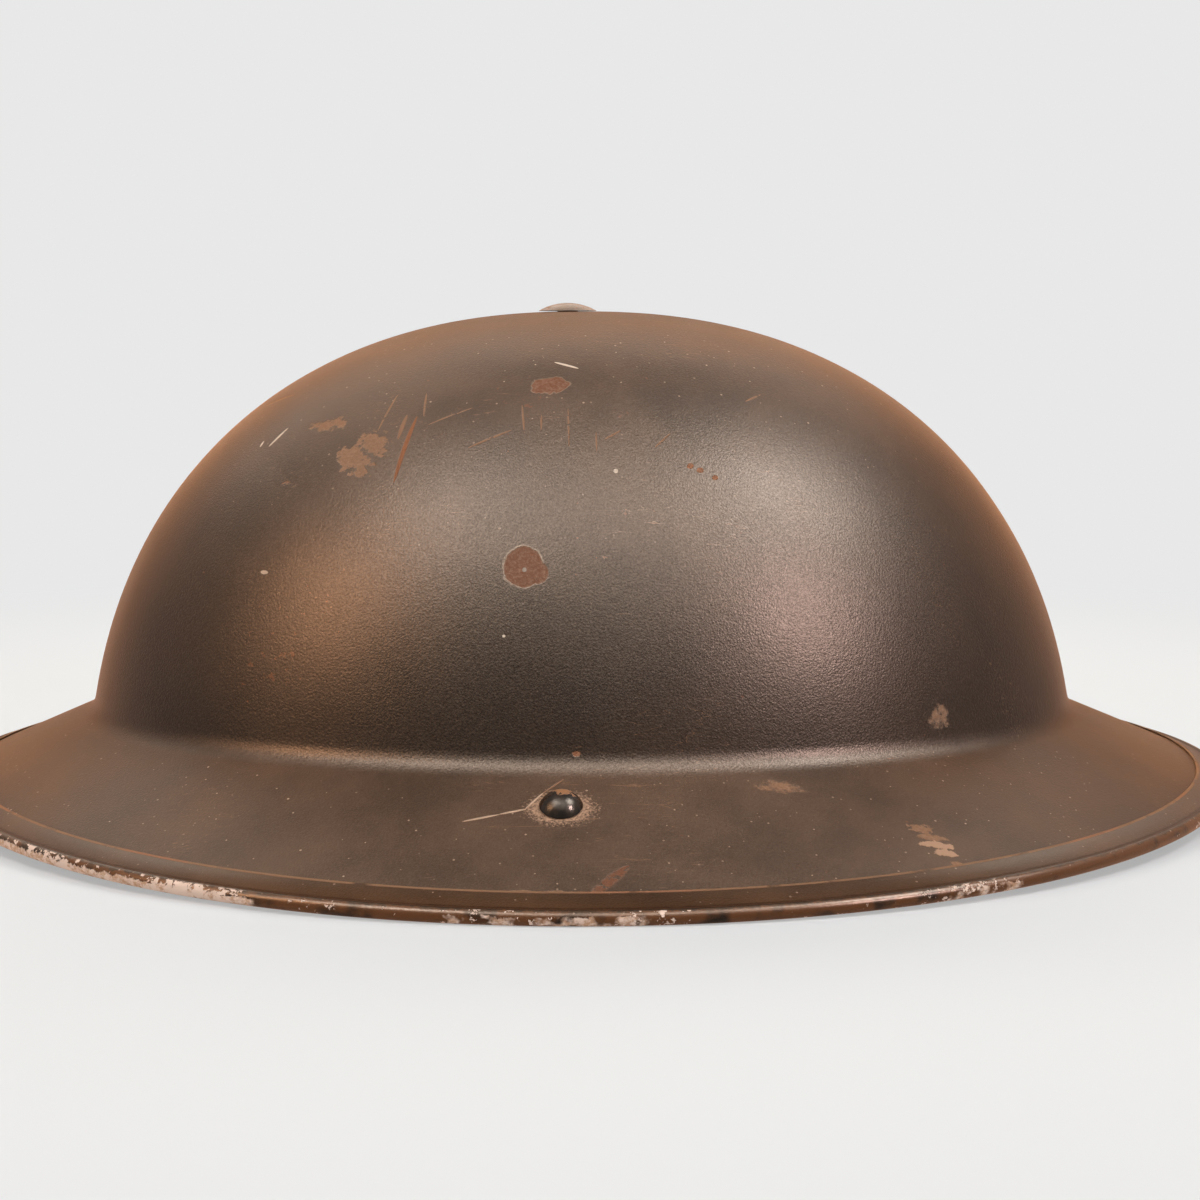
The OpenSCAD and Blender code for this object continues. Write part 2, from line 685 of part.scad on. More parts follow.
// Buckle: on_buckle puts its children at the wire in the left half's end.
tongue_slot = tongue_w + 2.2;
buckle_dip = asin((eye_z - wire_r - webbing_lift) / buckle_length);
module on_buckle() {
    translate([-screw_back, eye_y - webbing_lead, eye_z]) rotate([0, 0, webbing_skew])
        translate([0, -left_run, 0]) children();
}

module buckle_frame() {
    color([0.55, 0.5, 0.36]) on_buckle() rotate([buckle_dip, 0, 0]) wire_frame(buckle_length);
}

tongue_bore_r = wire_r + pivot_gap;
tongue_r = tongue_bore_r + 0.9;
tongue_rod_r = tongue_w / 2 - 0.2;
tongue_rise = asin((wire_r + tongue_rod_r + lie_gap / 2) / buckle_length);
module buckle_tongue() {
    color([0.55, 0.5, 0.36]) on_buckle() rotate([buckle_dip - tongue_rise, 0, 0])
        difference() {
            union() {
                translate([-tongue_w / 2, 0, 0]) rotate([0, 90, 0])
                    cylinder(h = tongue_w, r = tongue_r);
                rotate([90, 0, 0]) cylinder(h = buckle_length + wire_r, r = tongue_rod_r);
            }
            translate([-tongue_w, 0, 0]) rotate([0, 90, 0])
                cylinder(h = 2 * tongue_w, r = tongue_bore_r);
        }
}

shell();
rim_strip();
crown_screw();
crown_spacer();
crown_plate();
crown_nut();
long_crown_strap();
cross_crown_strap();
crown_pad();
headband();
sweatband();
crown_strap_rivets();
buffer_rivets();
lug(0);  // lug_left
lug(1);  // lug_right
lug_rivet(0);  // lug_rivet_left
lug_rivet(1);  // lug_rivet_right
strap_loop(0);  // strap_loop_left
strap_loop(1);  // strap_loop_right
chin_strap_left();
chin_strap_right();
strap_tip();
buckle_frame();
buckle_tongue();
for (i = [1:len(buffer_angles)])
    buffer(i);
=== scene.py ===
import math

import bmesh
import bpy
from mathutils import Matrix, Vector, noise


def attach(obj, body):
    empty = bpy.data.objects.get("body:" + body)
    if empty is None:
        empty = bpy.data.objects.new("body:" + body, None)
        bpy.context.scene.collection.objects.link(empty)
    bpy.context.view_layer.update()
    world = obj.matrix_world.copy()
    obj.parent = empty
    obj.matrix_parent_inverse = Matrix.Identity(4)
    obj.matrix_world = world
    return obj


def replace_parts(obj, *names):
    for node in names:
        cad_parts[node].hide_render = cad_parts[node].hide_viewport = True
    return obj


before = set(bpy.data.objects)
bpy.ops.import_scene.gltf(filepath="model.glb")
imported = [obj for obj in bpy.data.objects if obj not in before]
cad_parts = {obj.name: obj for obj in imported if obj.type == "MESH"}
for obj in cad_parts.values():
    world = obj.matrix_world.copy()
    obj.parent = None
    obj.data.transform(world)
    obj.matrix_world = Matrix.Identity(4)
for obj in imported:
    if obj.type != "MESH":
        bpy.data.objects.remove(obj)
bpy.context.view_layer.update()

mm = 0.001
zAxis = Vector((0, 0, 1))
sides = ("left", "right")
print("frame loaded:", len(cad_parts), "nodes")

# Camera: looks along +Y at the wearer's right side, a little from above

cameraSetup = {
    "place": (3.7, -601.0, 116.6),      # mm
    "pitch": 6.73,                      # degrees down
    "lens": 73.4,
    "sensor": 36.0,
    "clip": (0.05, 30),                 # m
}


def addObject(name, data):
    thing = bpy.data.objects.new(name, data)
    bpy.context.scene.collection.objects.link(thing)
    return thing


def buildCamera():
    data = bpy.data.cameras.new("sideCamera")
    data.lens = cameraSetup["lens"]
    data.sensor_width = cameraSetup["sensor"]
    data.clip_start, data.clip_end = cameraSetup["clip"]
    camera = addObject("sideCamera", data)
    camera.location = Vector(cameraSetup["place"]) * mm
    camera.rotation_euler = (math.radians(90 - cameraSetup["pitch"]), 0, 0)
    bpy.context.scene.camera = camera


buildCamera()
bpy.context.scene.view_settings.view_transform = "Standard"
print("camera placed")

# Node helpers. Every tree works in millimetres of the part's own frame


def startTree(owner):
    owner.use_nodes = True
    owner.node_tree.nodes.clear()
    return owner.node_tree


class Field:
    # what a node puts out, so that masks can be added and multiplied like numbers
    def __init__(self, node, output=0):
        self.tree = node.id_data
        self.socket = node.outputs[output]

    def __add__(self, other):
        return calc("ADD", self, other)

    def __radd__(self, other):
        return calc("ADD", other, self)

    def __sub__(self, other):
        return calc("SUBTRACT", self, other)

    def __rsub__(self, other):
        return calc("SUBTRACT", other, self)

    def __mul__(self, other):
        return calc("MULTIPLY", self, other)

    def __truediv__(self, other):
        return calc("DIVIDE", self, other)

    def __abs__(self):
        return calc("ABSOLUTE", self)


def colour(red, green, blue):
    def linear(value):
        value = value / 255
        return value / 12.92 if value <= 0.04045 else ((value + 0.055) / 1.055) ** 2.4
    return (linear(red), linear(green), linear(blue), 1)


def feed(socket, value):
    if isinstance(value, Field):
        value.tree.links.new(value.socket, socket)
    else:
        socket.default_value = value


def addNode(tree, kind, sockets=None, **settings):
    node = tree.nodes.new(kind)
    for name, value in settings.items():
        setattr(node, name, value)
    for name, value in (sockets or {}).items():
        feed(node.inputs[name], value)
    return node


def outputsOf(node):
    return {socket.name: Field(node, i) for i, socket in enumerate(node.outputs)}


def treeOf(values):
    return next(value.tree for value in values if isinstance(value, Field))


def calc(operation, *values):
    return Field(addNode(treeOf(values), "ShaderNodeMath", dict(enumerate(values)),
                         operation=operation))


def scaled(value, factor, offset):
    return calc("MULTIPLY_ADD", value, factor, offset)


def vectorCalc(operation, *values):
    sockets = {3 if operation == "SCALE" and i == 1 else i: value for i, value in enumerate(values)}
    node = addNode(treeOf(values), "ShaderNodeVectorMath", sockets, operation=operation)
    return Field(node, 1 if operation in ("DOT_PRODUCT", "LENGTH") else 0)


def ramp(value, low, high, start=0.0, end=1.0):
    return Field(addNode(treeOf([value, low, high]), "ShaderNodeMapRange", {
        "Value": value, "From Min": low, "From Max": high, "To Min": start, "To Max": end},
        interpolation_type="SMOOTHSTEP"))


def band(value, low, high, soft):
    return ramp(value, low, low + soft) * ramp(value, high - soft, high, 1.0, 0.0)


def blendColour(factor, first, second):
    return Field(addNode(factor.tree, "ShaderNodeMix", {0: factor, 6: first, 7: second},
                         data_type="RGBA"), 2)


def noiseAt(vector, scale, detail=3.0, roughness=0.5):
    return Field(addNode(vector.tree, "ShaderNodeTexNoise", {
        "Vector": vector, "Scale": scale, "Detail": detail, "Roughness": roughness}))


def cellsAt(vector, scale, **settings):
    return outputsOf(addNode(vector.tree, "ShaderNodeTexVoronoi", {
        "Vector": vector, "Scale": scale}, **settings))


def stretched(vector, scale, turned=(0, 0, 0)):
    return Field(addNode(vector.tree, "ShaderNodeMapping", {
        "Vector": vector, "Rotation": turned, "Scale": scale}))


def partsOf(vector):
    return outputsOf(addNode(vector.tree, "ShaderNodeSeparateXYZ", {"Vector": vector}))


def strongest(masks):
    result = masks[0]
    for mask in masks[1:]:
        result = calc("MAXIMUM", result, mask)
    return result


def startGroup(name, **takes):
    group = bpy.data.node_groups.new(name, "ShaderNodeTree")
    for label, value in takes.items():
        kind = "NodeSocketVector" if isinstance(value, tuple) else "NodeSocketFloat"
        group.interface.new_socket(name=label, in_out="INPUT", socket_type=kind).default_value = value
    takes = outputsOf(group.nodes.new("NodeGroupInput"))
    return group, takes


def endGroup(group, **gives):
    for label in gives:
        group.interface.new_socket(name=label, in_out="OUTPUT", socket_type="NodeSocketFloat")
    addNode(group, "NodeGroupOutput", gives)
    return group


def useGroup(group, **sockets):
    return outputsOf(addNode(treeOf(sockets.values()), "ShaderNodeGroup", sockets, node_tree=group))


# Fine sandy grain of sprayed paint, also used for rubber
def makeSandGroup():
    group, takes = startGroup("sandGrain", Vector=(0, 0, 0), Scale=0.8)
    hollow = cellsAt(takes["Vector"], takes["Scale"])["Distance"]
    fine = noiseAt(takes["Vector"], takes["Scale"] * 0.7, 3, 0.7)
    return endGroup(group, Height=(1 - hollow) * 0.45 + fine * 0.55, Pits=ramp(hollow, 0.45, 0.8))


# A worn or chipped spot with a ragged outline, as a mask, and the lifted rim round it
def makeSpotGroup():
    group, takes = startGroup("wornSpot", Vector=(0, 0, 0), Centre=(0, 0, 0), Size=(1, 1, 1),
                              Torn=0.0, Ragged=0.3, Edge=0.05)
    away = vectorCalc("DIVIDE", vectorCalc("SUBTRACT", takes["Vector"], takes["Centre"]), takes["Size"])
    reach = scaled(takes["Torn"], takes["Ragged"], vectorCalc("LENGTH", away))
    return endGroup(group, Mask=ramp(reach, 1 - takes["Edge"], 1 + takes["Edge"], 1.0, 0.0),
                    Rim=ramp(abs(reach - 1.03), 0.0, 0.09, 1.0, 0.0))


# One scratch between two points of a curved surface round the origin
def makeScratchGroup():
    group, takes = startGroup("scratchLine", Vector=(0, 0, 0), From=(0, 0, 0), To=(1, 0, 0),
                              Width=0.3, Level=0.5, Breaks=0.5)
    run = vectorCalc("SUBTRACT", takes["To"], takes["From"])
    plane = vectorCalc("NORMALIZE", vectorCalc("CROSS_PRODUCT", takes["From"], takes["To"]))
    off = abs(vectorCalc("DOT_PRODUCT", takes["Vector"], plane))
    here = vectorCalc("SUBTRACT", takes["Vector"], takes["From"])
    part = vectorCalc("DOT_PRODUCT", here, run) / vectorCalc("DOT_PRODUCT", run, run)
    taper = part * (1 - part) * 4
    wide = takes["Width"] * calc("POWER", calc("MAXIMUM", taper, 0.0001), 0.5)
    near = calc("LESS_THAN", vectorCalc("LENGTH", here), vectorCalc("LENGTH", run) * 1.2)
    line = ramp(1 - off / wide, 0.0, 0.6) * (calc("GREATER_THAN", taper, 0.0) * near)
    return endGroup(group, Mask=line * ramp(takes["Level"], takes["Breaks"] - 0.12, takes["Breaks"]))


# Scattered small chips, gathered in patches
def makeFleckGroup():
    group, takes = startGroup("flecks", Vector=(0, 0, 0), Scale=0.5, Cover=0.3, Patch=0.03, Gather=0.4)
    patch = noiseAt(takes["Vector"], takes["Patch"], 1) - 0.5
    level = scaled(patch, takes["Gather"], noiseAt(takes["Vector"], takes["Scale"], 4, 0.65))
    low = 1 - takes["Cover"]
    return endGroup(group, Mask=ramp(level, low, low + 0.025))


# Fine parallel hairlines, broken up in patches
def makeHairlineGroup():
    group, takes = startGroup("hairlines", Vector=(0, 0, 0), Turn=(0, 0, 0), Stretch=(0.02, 0.9, 0.9),
                              Width=0.01, Patch=0.02, Cover=0.5)
    laid = stretched(takes["Vector"], takes["Stretch"], takes["Turn"])
    line = ramp(abs(noiseAt(laid, 1, 1) - 0.5), 0.0, takes["Width"], 1.0, 0.0)
    low = 1 - takes["Cover"]
    return endGroup(group, Mask=line * ramp(noiseAt(takes["Vector"], takes["Patch"], 2), low, low + 0.08))


# Dust that lies on what faces up, with pale specks in it
def makeDustGroup():
    group, takes = startGroup("dustFilm", Vector=(0, 0, 0), Up=0.0, Low=0.2, High=0.95)
    cloud = noiseAt(takes["Vector"], 0.035, 4, 0.65)
    lie = ramp(takes["Up"], takes["Low"], takes["High"])
    grains = cellsAt(takes["Vector"], 0.62)
    pick = outputsOf(addNode(group, "ShaderNodeSeparateColor", {"Color": grains["Color"]}))
    gather = ramp(noiseAt(takes["Vector"], 0.03, 3), 0.38, 0.66, 0.2, 0.75)
    size = calc("LESS_THAN", pick["Red"], gather) * scaled(pick["Green"], 0.17, 0.03)
    dot = ramp(size - grains["Distance"], 0.0, 0.06)
    return endGroup(group, Mask=lie * ramp(cloud, 0.3, 0.7, 0.45, 1.0),
                    Specks=dot * (scaled(pick["Blue"], 0.7, 0.3) * lie))


# Warp and weft of cotton webbing, from the lay coordinates along and across it
def makeWeaveGroup():
    group, takes = startGroup("weave", Across=0.0, Along=0.0, Warp=0.95, Weft=0.8)
    warp = takes["Across"] / takes["Warp"]
    odd = calc("MODULO", calc("FLOOR", warp), 2) * math.pi
    ridge = calc("POWER", abs(calc("SINE", warp * math.pi)), 0.6)
    swell = calc("SINE", scaled(takes["Along"] / takes["Weft"], math.pi, odd))
    height = ridge * scaled(swell, 0.35, 0.65)
    return endGroup(group, Height=height, Gaps=ramp(height, 0.15, 0.45, 1.0, 0.0))


# Creased grain of oilcloth and leather
def makeGrainGroup():
    group, takes = startGroup("leatherGrain", Vector=(0, 0, 0), Scale=1.1)
    cells = cellsAt(takes["Vector"], takes["Scale"], feature="DISTANCE_TO_EDGE")
    pebble = ramp(cells["Distance"], 0.0, 0.35)
    crack = abs(noiseAt(takes["Vector"], 0.22, 4, 0.6) - 0.5)
    return endGroup(group, Height=scaled(pebble, 0.4, noiseAt(takes["Vector"], 0.12, 6, 0.7)),
                    Cracks=ramp(crack, 0.0, 0.012, 1.0, 0.0))


# Tarnish or rust: cloudy patches with a spotted edge
def makeTarnishGroup():
    group, takes = startGroup("tarnish", Vector=(0, 0, 0), Scale=0.25, Cover=0.5)
    low = 0.95 - takes["Cover"]
    return endGroup(
        group, Mask=ramp(noiseAt(takes["Vector"], takes["Scale"], 8, 0.65), low, low + 0.2),
        Spots=ramp(noiseAt(takes["Vector"], takes["Scale"] * 9, 4, 0.7), 0.58, 0.68))


sandGrain = makeSandGroup()
wornSpot = makeSpotGroup()
scratchLine = makeScratchGroup()
flecks = makeFleckGroup()
hairlines = makeHairlineGroup()
dustFilm = makeDustGroup()
weave = makeWeaveGroup()
leatherGrain = makeGrainGroup()
tarnish = makeTarnishGroup()
print("shader groups built")

# Materials

materials = {}


def startMaterial(name):
    # returns the place in mm and how much the surface faces up
    materials[name] = bpy.data.materials.new(name)
    spot = outputsOf(addNode(startTree(materials[name]), "ShaderNodeTexCoord"))
    return vectorCalc("SCALE", spot["Object"], 1 / mm), partsOf(spot["Normal"])["Z"]


def endMaterial(base, roughness, height, bumpHeight, values=None, masked=None):
    # values are the same all over; what is masked changes over the surface; bump height in mm
    tree = base.tree
    shader = addNode(tree, "ShaderNodeBsdfPrincipled", {"Base Color": base, "Roughness": roughness})
    for sockets in (values or {}, masked or {}):
        for name, value in sockets.items():
            feed(shader.inputs[name], value)
    bump = addNode(tree, "ShaderNodeBump", {"Height": height, "Distance": bumpHeight * mm,
                                            "Strength": 1.0})
    feed(shader.inputs["Normal"], Field(bump))
    addNode(tree, "ShaderNodeOutputMaterial", {"Surface": Field(shader)})


def layOf(tree):
    parts = partsOf(Field(addNode(tree, "ShaderNodeUVMap", uv_map="lay")))
    return parts["X"], parts["Y"]


paintLook = {
    "black": colour(20, 14, 10),
    "brown": colour(40, 28, 20),
    "dust": colour(98, 71, 50),
    "speck": colour(186, 156, 132),
    "chalk": colour(170, 134, 108),
    "primer": colour(102, 58, 34),
    "primerPale": colour(128, 92, 67),
    "orange": colour(128, 74, 40),
    "bare": colour(205, 188, 170),
    "ash": colour(142, 134, 124),
    "grainScale": 2.2,                  # cells per mm
    "grainHeight": 0.075,               # mm
    "roughness": 0.35,
    "sheenTint": colour(208, 143, 96),
    "gloss": 0.13,
    "edgeGloss": 0.02,                  # where it is seen edge-on
}
paintShader = {
    "Specular IOR Level": paintLook["gloss"],
    "Specular Tint": (1.0, 0.82, 0.68, 1),
    "Sheen Weight": 0.9,
    "Sheen Roughness": 0.36,
    "Sheen Tint": paintLook["sheenTint"],
}

# Spots worn through the paint: centre and half size in mm, raggedness, torn grain per mm,
# softness of the edge, colour
shellSpots = [
    ((-12.5, -88.7, 63.2), (4.3, 6.0, 4.3), 0.45, 0.22, 0.03, "primer"),
    ((-9.4, -89.2, 62.0), (2.2, 4.0, 2.3), 0.3, 0.22, 0.10, "primer"),
    ((-12.2, -89.0, 62.6), (0.45, 1.5, 0.45), 0.3, 0.5, 0.2, "ash"),
    ((-7.6, -57.8, 100.4), (4.4, 6.0, 1.9), 1.6, 0.22, 0.06, "primer"),
    ((-51.6, -61.8, 84.6), (3.0, 6.0, 2.9), 2.4, 0.5, 0.14, "primerPale"),
    ((-45.8, -61.6, 87.8), (3.0, 6.0, 2.3), 3.4, 0.5, 0.2, "primerPale"),
    ((-48.6, -64.6, 83.2), (2.6, 5.0, 1.9), 3.6, 0.5, 0.2, "primerPale"),
    ((-58.6, -49.4, 91.0), (3.4, 4.0, 0.9), 3.2, 0.5, 0.35, "primerPale"),
    ((-55.0, -51.0, 91.8), (2.6, 4.0, 1.0), 3.4, 0.5, 0.35, "primerPale"),
    ((-69.5, -69.6, 60.0), (0.9, 2.4, 0.4), 1.0, 0.5, 0.2, "speck"),
    ((-66.0, -55.6, 78.6), (1.2, 3.0, 0.6), 2.4, 0.5, 0.3, "orange"),
    ((23.3, -73.5, 83.5), (0.7, 2.4, 0.5), 2.0, 0.5, 0.2, "orange"),
    ((25.4, -73.8, 82.6), (0.7, 2.4, 0.5), 2.0, 0.5, 0.2, "orange"),
    ((28.5, -74.2, 81.0), (0.6, 2.4, 0.45), 1.4, 0.5, 0.2, "orange"),
    ((-1.1, -100.6, 25.4), (0.8, 3.0, 0.6), 1.4, 0.5, 0.2, "orange"),
    ((77.5, -74.9, 28.9), (1.8, 2.6, 2.1), 3.4, 0.5, 0.5, "primerPale"),
    ((7.1, -76.7, 82.6), (0.5, 1.5, 0.42), 0.4, 0.5, 0.1, "bare"),
    ((-16.4, -94.0, 49.2), (0.36, 1.5, 0.3), 0.4, 0.5, 0.1, "bare"),
    ((69.0, -108.8, 11.3), (3.0, 1.5, 0.9), 2.8, 0.5, 0.2, "primerPale"),
    ((71.0, -111.0, 10.0), (3.4, 1.2, 0.8), 2.6, 0.5, 0.3, "primerPale"),
    ((71.6, -113.2, 8.9), (4.0, 1.3, 0.9), 2.6, 0.5, 0.2, "chalk"),
    ((73.6, -115.4, 7.8), (3.0, 1.1, 0.8), 2.4, 0.5, 0.2, "chalk"),
    ((75.4, -118.4, 6.4), (1.3, 0.9, 0.7), 1.8, 0.5, 0.2, "primerPale"),
    ((54.7, -131.2, 4.3), (1.9, 1.3, 1.2), 1.1, 0.5, 0.10, "bare"),
    ((41.0, -102.7, 18.8), (3.2, 1.6, 1.0), 4.6, 0.5, 0.7, "primerPale"),
    ((-4.2, -113.4, 16.6), (6.0, 4.9, 4.6), 1.8, 1.8, 0.3, "chalk"),
    ((-4.2, 113.4, 16.6), (6.0, 4.9, 4.6), 1.8, 1.8, 0.3, "chalk"),
    ((-12.1, -138.1, 5.1), (3.0, 0.8, 1.2), 1.0, 0.5, 0.12, "primerPale"),
    ((-5.3, -138.4, 5.0), (2.6, 0.8, 1.1), 1.0, 0.5, 0.12, "primerPale"),
    ((9.6, -138.9, 4.7), (2.0, 0.5, 0.4), 1.0, 0.5, 0.2, "orange"),
    ((24.0, 84.0, 68.3), (3.4, 5.0, 3.2), 0.8, 0.22, 0.05, "primer"),
    ((-52.0, 62.0, 84.3), (4.2, 6.0, 2.6), 3.4, 0.5, 0.2, "primerPale"),
    ((60.0, 64.0, 75.6), (2.2, 4.0, 2.0), 2.4, 0.5, 0.2, "primerPale"),
    ((-102.0, 12.0, 68.4), (3.0, 3.6, 3.0), 2.4, 0.5, 0.15, "primerPale"),
    ((70.0, 8.0, 98.7), (3.0, 2.4, 2.0), 2.2, 0.5, 0.2, "primerPale"),
    ((-60.0, 116.0, 10.0), (3.6, 2.0, 1.4), 2.8, 0.5, 0.2, "chalk"),
    ((124.0, 46.0, 14.3), (1.8, 3.0, 1.2), 2.4, 0.5, 0.25, "chalk"),
]
# Scratches: from, to, width in mm, how broken, colour
shellScratches = [
    ((-36.7, -59.4, 93.6), (-41.0, -71.6, 79.7), 0.75, 0.3, "orange"),
    ((-39.0, -58.0, 93.8), (-40.7, -63.3, 88.7), 0.7, 0.34, "primerPale"),
    ((-41.7, -50.7, 98.0), (-45.4, -59.0, 90.4), 0.34, 0.44, "primerPale"),
    ((-35.0, -53.5, 98.4), (-35.2, -60.0, 93.6), 0.34, 0.42, "primerPale"),
    ((-34.1, -62.5, 91.8), (-24.3, -61.3, 95.5), 0.3, 0.46, "primerPale"),
    ((-24.9, -70.2, 87.2), (-15.3, -68.3, 91.0), 0.4, 0.42, "primerPale"),
    ((-13.4, -62.7, 96.2), (-12.7, -69.4, 90.3), 0.32, 0.42, "primerPale"),
    ((-9.1, -65.7, 94.1), (-9.1, -69.2, 90.9), 0.3, 0.42, "primerPale"),
    ((-3.3, -64.3, 95.6), (-3.0, -72.7, 87.6), 0.28, 0.46, "primerPale"),
    ((2.8, -69.7, 90.7), (3.0, -73.5, 86.6), 0.26, 0.44, "primerPale"),
    ((-6.5, -49.9, 105.2), (-1.1, -52.5, 103.9), 0.5, 0.3, "bare"),
    ((-71.7, -43.5, 86.0), (-67.5, -41.8, 90.2), 0.6, 0.36, "bare"),
    ((-74.1, -41.0, 85.8), (-73.3, -39.8, 87.1), 0.5, 0.3, "bare"),
    ((-75.8, -17.4, 94.3), (-68.3, -25.2, 97.1), 0.7, 0.46, "primerPale"),
    ((36.1, -54.7, 96.7), (39.7, -50.8, 98.1), 0.34, 0.42, "primerPale"),
    ((4.5, -71.3, 89.0), (8.2, -69.1, 90.9), 0.36, 0.42, "primerPale"),
    ((15.6, -71.6, 87.4), (19.1, -68.1, 90.3), 0.32, 0.44, "primerPale"),
    ((-24.1, -116.2, 14.4), (-16.5, -114.8, 15.6), 0.24, 0.3, "speck"),
    ((-16.7, -114.8, 15.6), (-11.3, -113.6, 16.4), 0.24, 0.3, "speck"),
    ((-11.6, -113.7, 16.3), (-7.9, -108.6, 18.8), 0.24, 0.3, "speck"),
    ((-8.1, -108.9, 18.7), (-3.8, -104.6, 20.8), 0.2, 0.4, "primerPale"),
    ((1.4, -139.5, 4.3), (9.2, -130.3, 8.5), 1.1, 0.5, "primer"),
    ((20.0, 62.0, 95.5), (31.0, 56.0, 97.4), 0.4, 0.42, "primerPale"),
    ((-24.0, 72.0, 85.5), (-30.0, 60.0, 95.2), 0.6, 0.34, "orange"),
    ((-88.0, -6.0, 86.1), (-80.0, 6.0, 93.0), 0.4, 0.42, "primerPale"),
    ((88.0, 20.0, 81.6), (84.0, 32.0, 80.6), 0.5, 0.36, "bare"),
]


def wearShell(place, base, height, outside):
    # adds the listed spots and scratches; returns the new base, height and bare mask
    away = scaled(outside, -500.0, 500.0)       # inside, the marks are out of reach
    reach = vectorCalc("ADD", place, Field(addNode(place.tree, "ShaderNodeCombineXYZ", {"Z": away})))
    torn = {grain: noiseAt(place, grain, 3, 0.62) - 0.5
            for grain in sorted({spot[3] for spot in shellSpots})}
    mottle = ramp(noiseAt(place, 1.4, 3, 0.7), 0.4, 0.75) * 0.22
    level = noiseAt(place, 0.7, 3)
    tones = {tone: blendColour(mottle, paintLook[tone], paintLook["speck"])
             for tone in sorted({spot[5] for spot in shellSpots})}
    bare = 0.0
    for centre, size, ragged, grain, edge, tone in shellSpots:
        spot = useGroup(wornSpot, Vector=reach, Centre=centre, Size=size, Torn=torn[grain],
                        Ragged=ragged, Edge=edge)
        base = blendColour(spot["Mask"], base, tones[tone])
        if edge < 0.1:          # a crisp edge has a pale rim
            base = blendColour(spot["Rim"] * 0.22, base, paintLook["speck"])
        bare = calc("MAXIMUM", bare, spot["Mask"])
    for start, end, width, breaks, tone in shellScratches:
        mask = useGroup(scratchLine, Vector=reach, From=start, To=end, Width=width, Level=level,
                        Breaks=breaks)["Mask"]
        base = blendColour(mask, base, paintLook[tone])
        bare = calc("MAXIMUM", bare, mask)
    return base, scaled(bare, -0.9, height), bare


def paintBase(place, up):
    cloud = ramp(noiseAt(place, 0.018, 3, 0.6), 0.35, 0.68)
    base = blendColour(cloud, paintLook["black"], paintLook["brown"])
    dust = useGroup(dustFilm, Vector=place, Up=up, Low=0.25, High=1.0)
    base = blendColour(dust["Mask"] * 0.55, base, paintLook["dust"])
    base = blendColour(dust["Specks"] * 0.75, base, paintLook["speck"])
    sand = useGroup(sandGrain, Vector=place, Scale=paintLook["grainScale"])
    base = blendColour(sand["Pits"] * 0.12, base, paintLook["dust"])
    return base, dust["Mask"], sand["Height"]


def fadedGloss(place):
    # grainy gloss that dust hides where it is seen edge-on
    facing = outputsOf(addNode(place.tree, "ShaderNodeLayerWeight", {"Blend": 0.5}))["Facing"]
    gloss = ramp(facing, 0.25, 0.8, paintLook["gloss"], paintLook["edgeGloss"])
    return gloss * ramp(noiseAt(place, 2.3, 3, 0.75), 0.32, 0.68, 0.62, 1.4)


def makeShellPaint():
    place, up = startMaterial("shell_paint")
    base, dust, grain = paintBase(place, up)
    outside = ramp(up, -0.25, -0.05)
    tiny = useGroup(flecks, Vector=place, Scale=0.45, Cover=0.27, Patch=0.02, Gather=0.35)
    base = blendColour(tiny["Mask"] * outside * 0.75, base, paintLook["primer"])
    fine = useGroup(hairlines, Vector=place, Turn=(0, 0.5, 0.1), Stretch=(0.03, 0.5, 0.8),
                    Width=0.008, Patch=0.03, Cover=0.44)
    steep = useGroup(hairlines, Vector=place, Turn=(0, -1.2, 0.2), Stretch=(0.04, 0.6, 0.9),
                     Width=0.007, Patch=0.04, Cover=0.42)
    lines = calc("MAXIMUM", fine["Mask"], steep["Mask"]) * outside
    base = blendColour(lines * 0.5, base, paintLook["primerPale"])
    base, height, bare = wearShell(place, base, grain, outside)
    rough = scaled(dust, 0.16, paintLook["roughness"])
    rough = scaled(noiseAt(place, 0.05, 2), 0.08, rough)
    endMaterial(base, scaled(bare, 0.45, rough), height, paintLook["grainHeight"], paintShader,
                {"Specular IOR Level": fadedGloss(place)})


stripLook = {
    "edge": 0.7,                # mm along the section where the leg's cut edge shows
    "fold": (5.0, 7.1),         # painted shade: a dark band in the hollow where leg and bead meet
    "bead": (7.0, 12.8),
    "chipped": (6.8, 12.4),
    "rubbed": (8.3, 10.9),
    "edgeWorn": colour(126, 92, 66),
    "edgeRust": colour(138, 92, 64),
    "rust": colour(98, 61, 36),
    "rub": colour(190, 148, 118),
    "chip": colour(226, 200, 184),
    # painted shade colour for the hollow between leg and bead
    "gap": colour(19, 14, 11),
}
# Worn stretches of the bead: start and end in degrees round the rim, how worn
stripWear = [
    (-162, -112, 1.0), (-116, -106, 0.5), (-105, -80, 0.75), (-78, -66, 0.4), (-65, -49, 0.8),
    (-30, -12, 0.5), (24, 46, 0.6), (70, 88, 0.4), (112, 131, 0.8), (150, 172, 0.45),
]


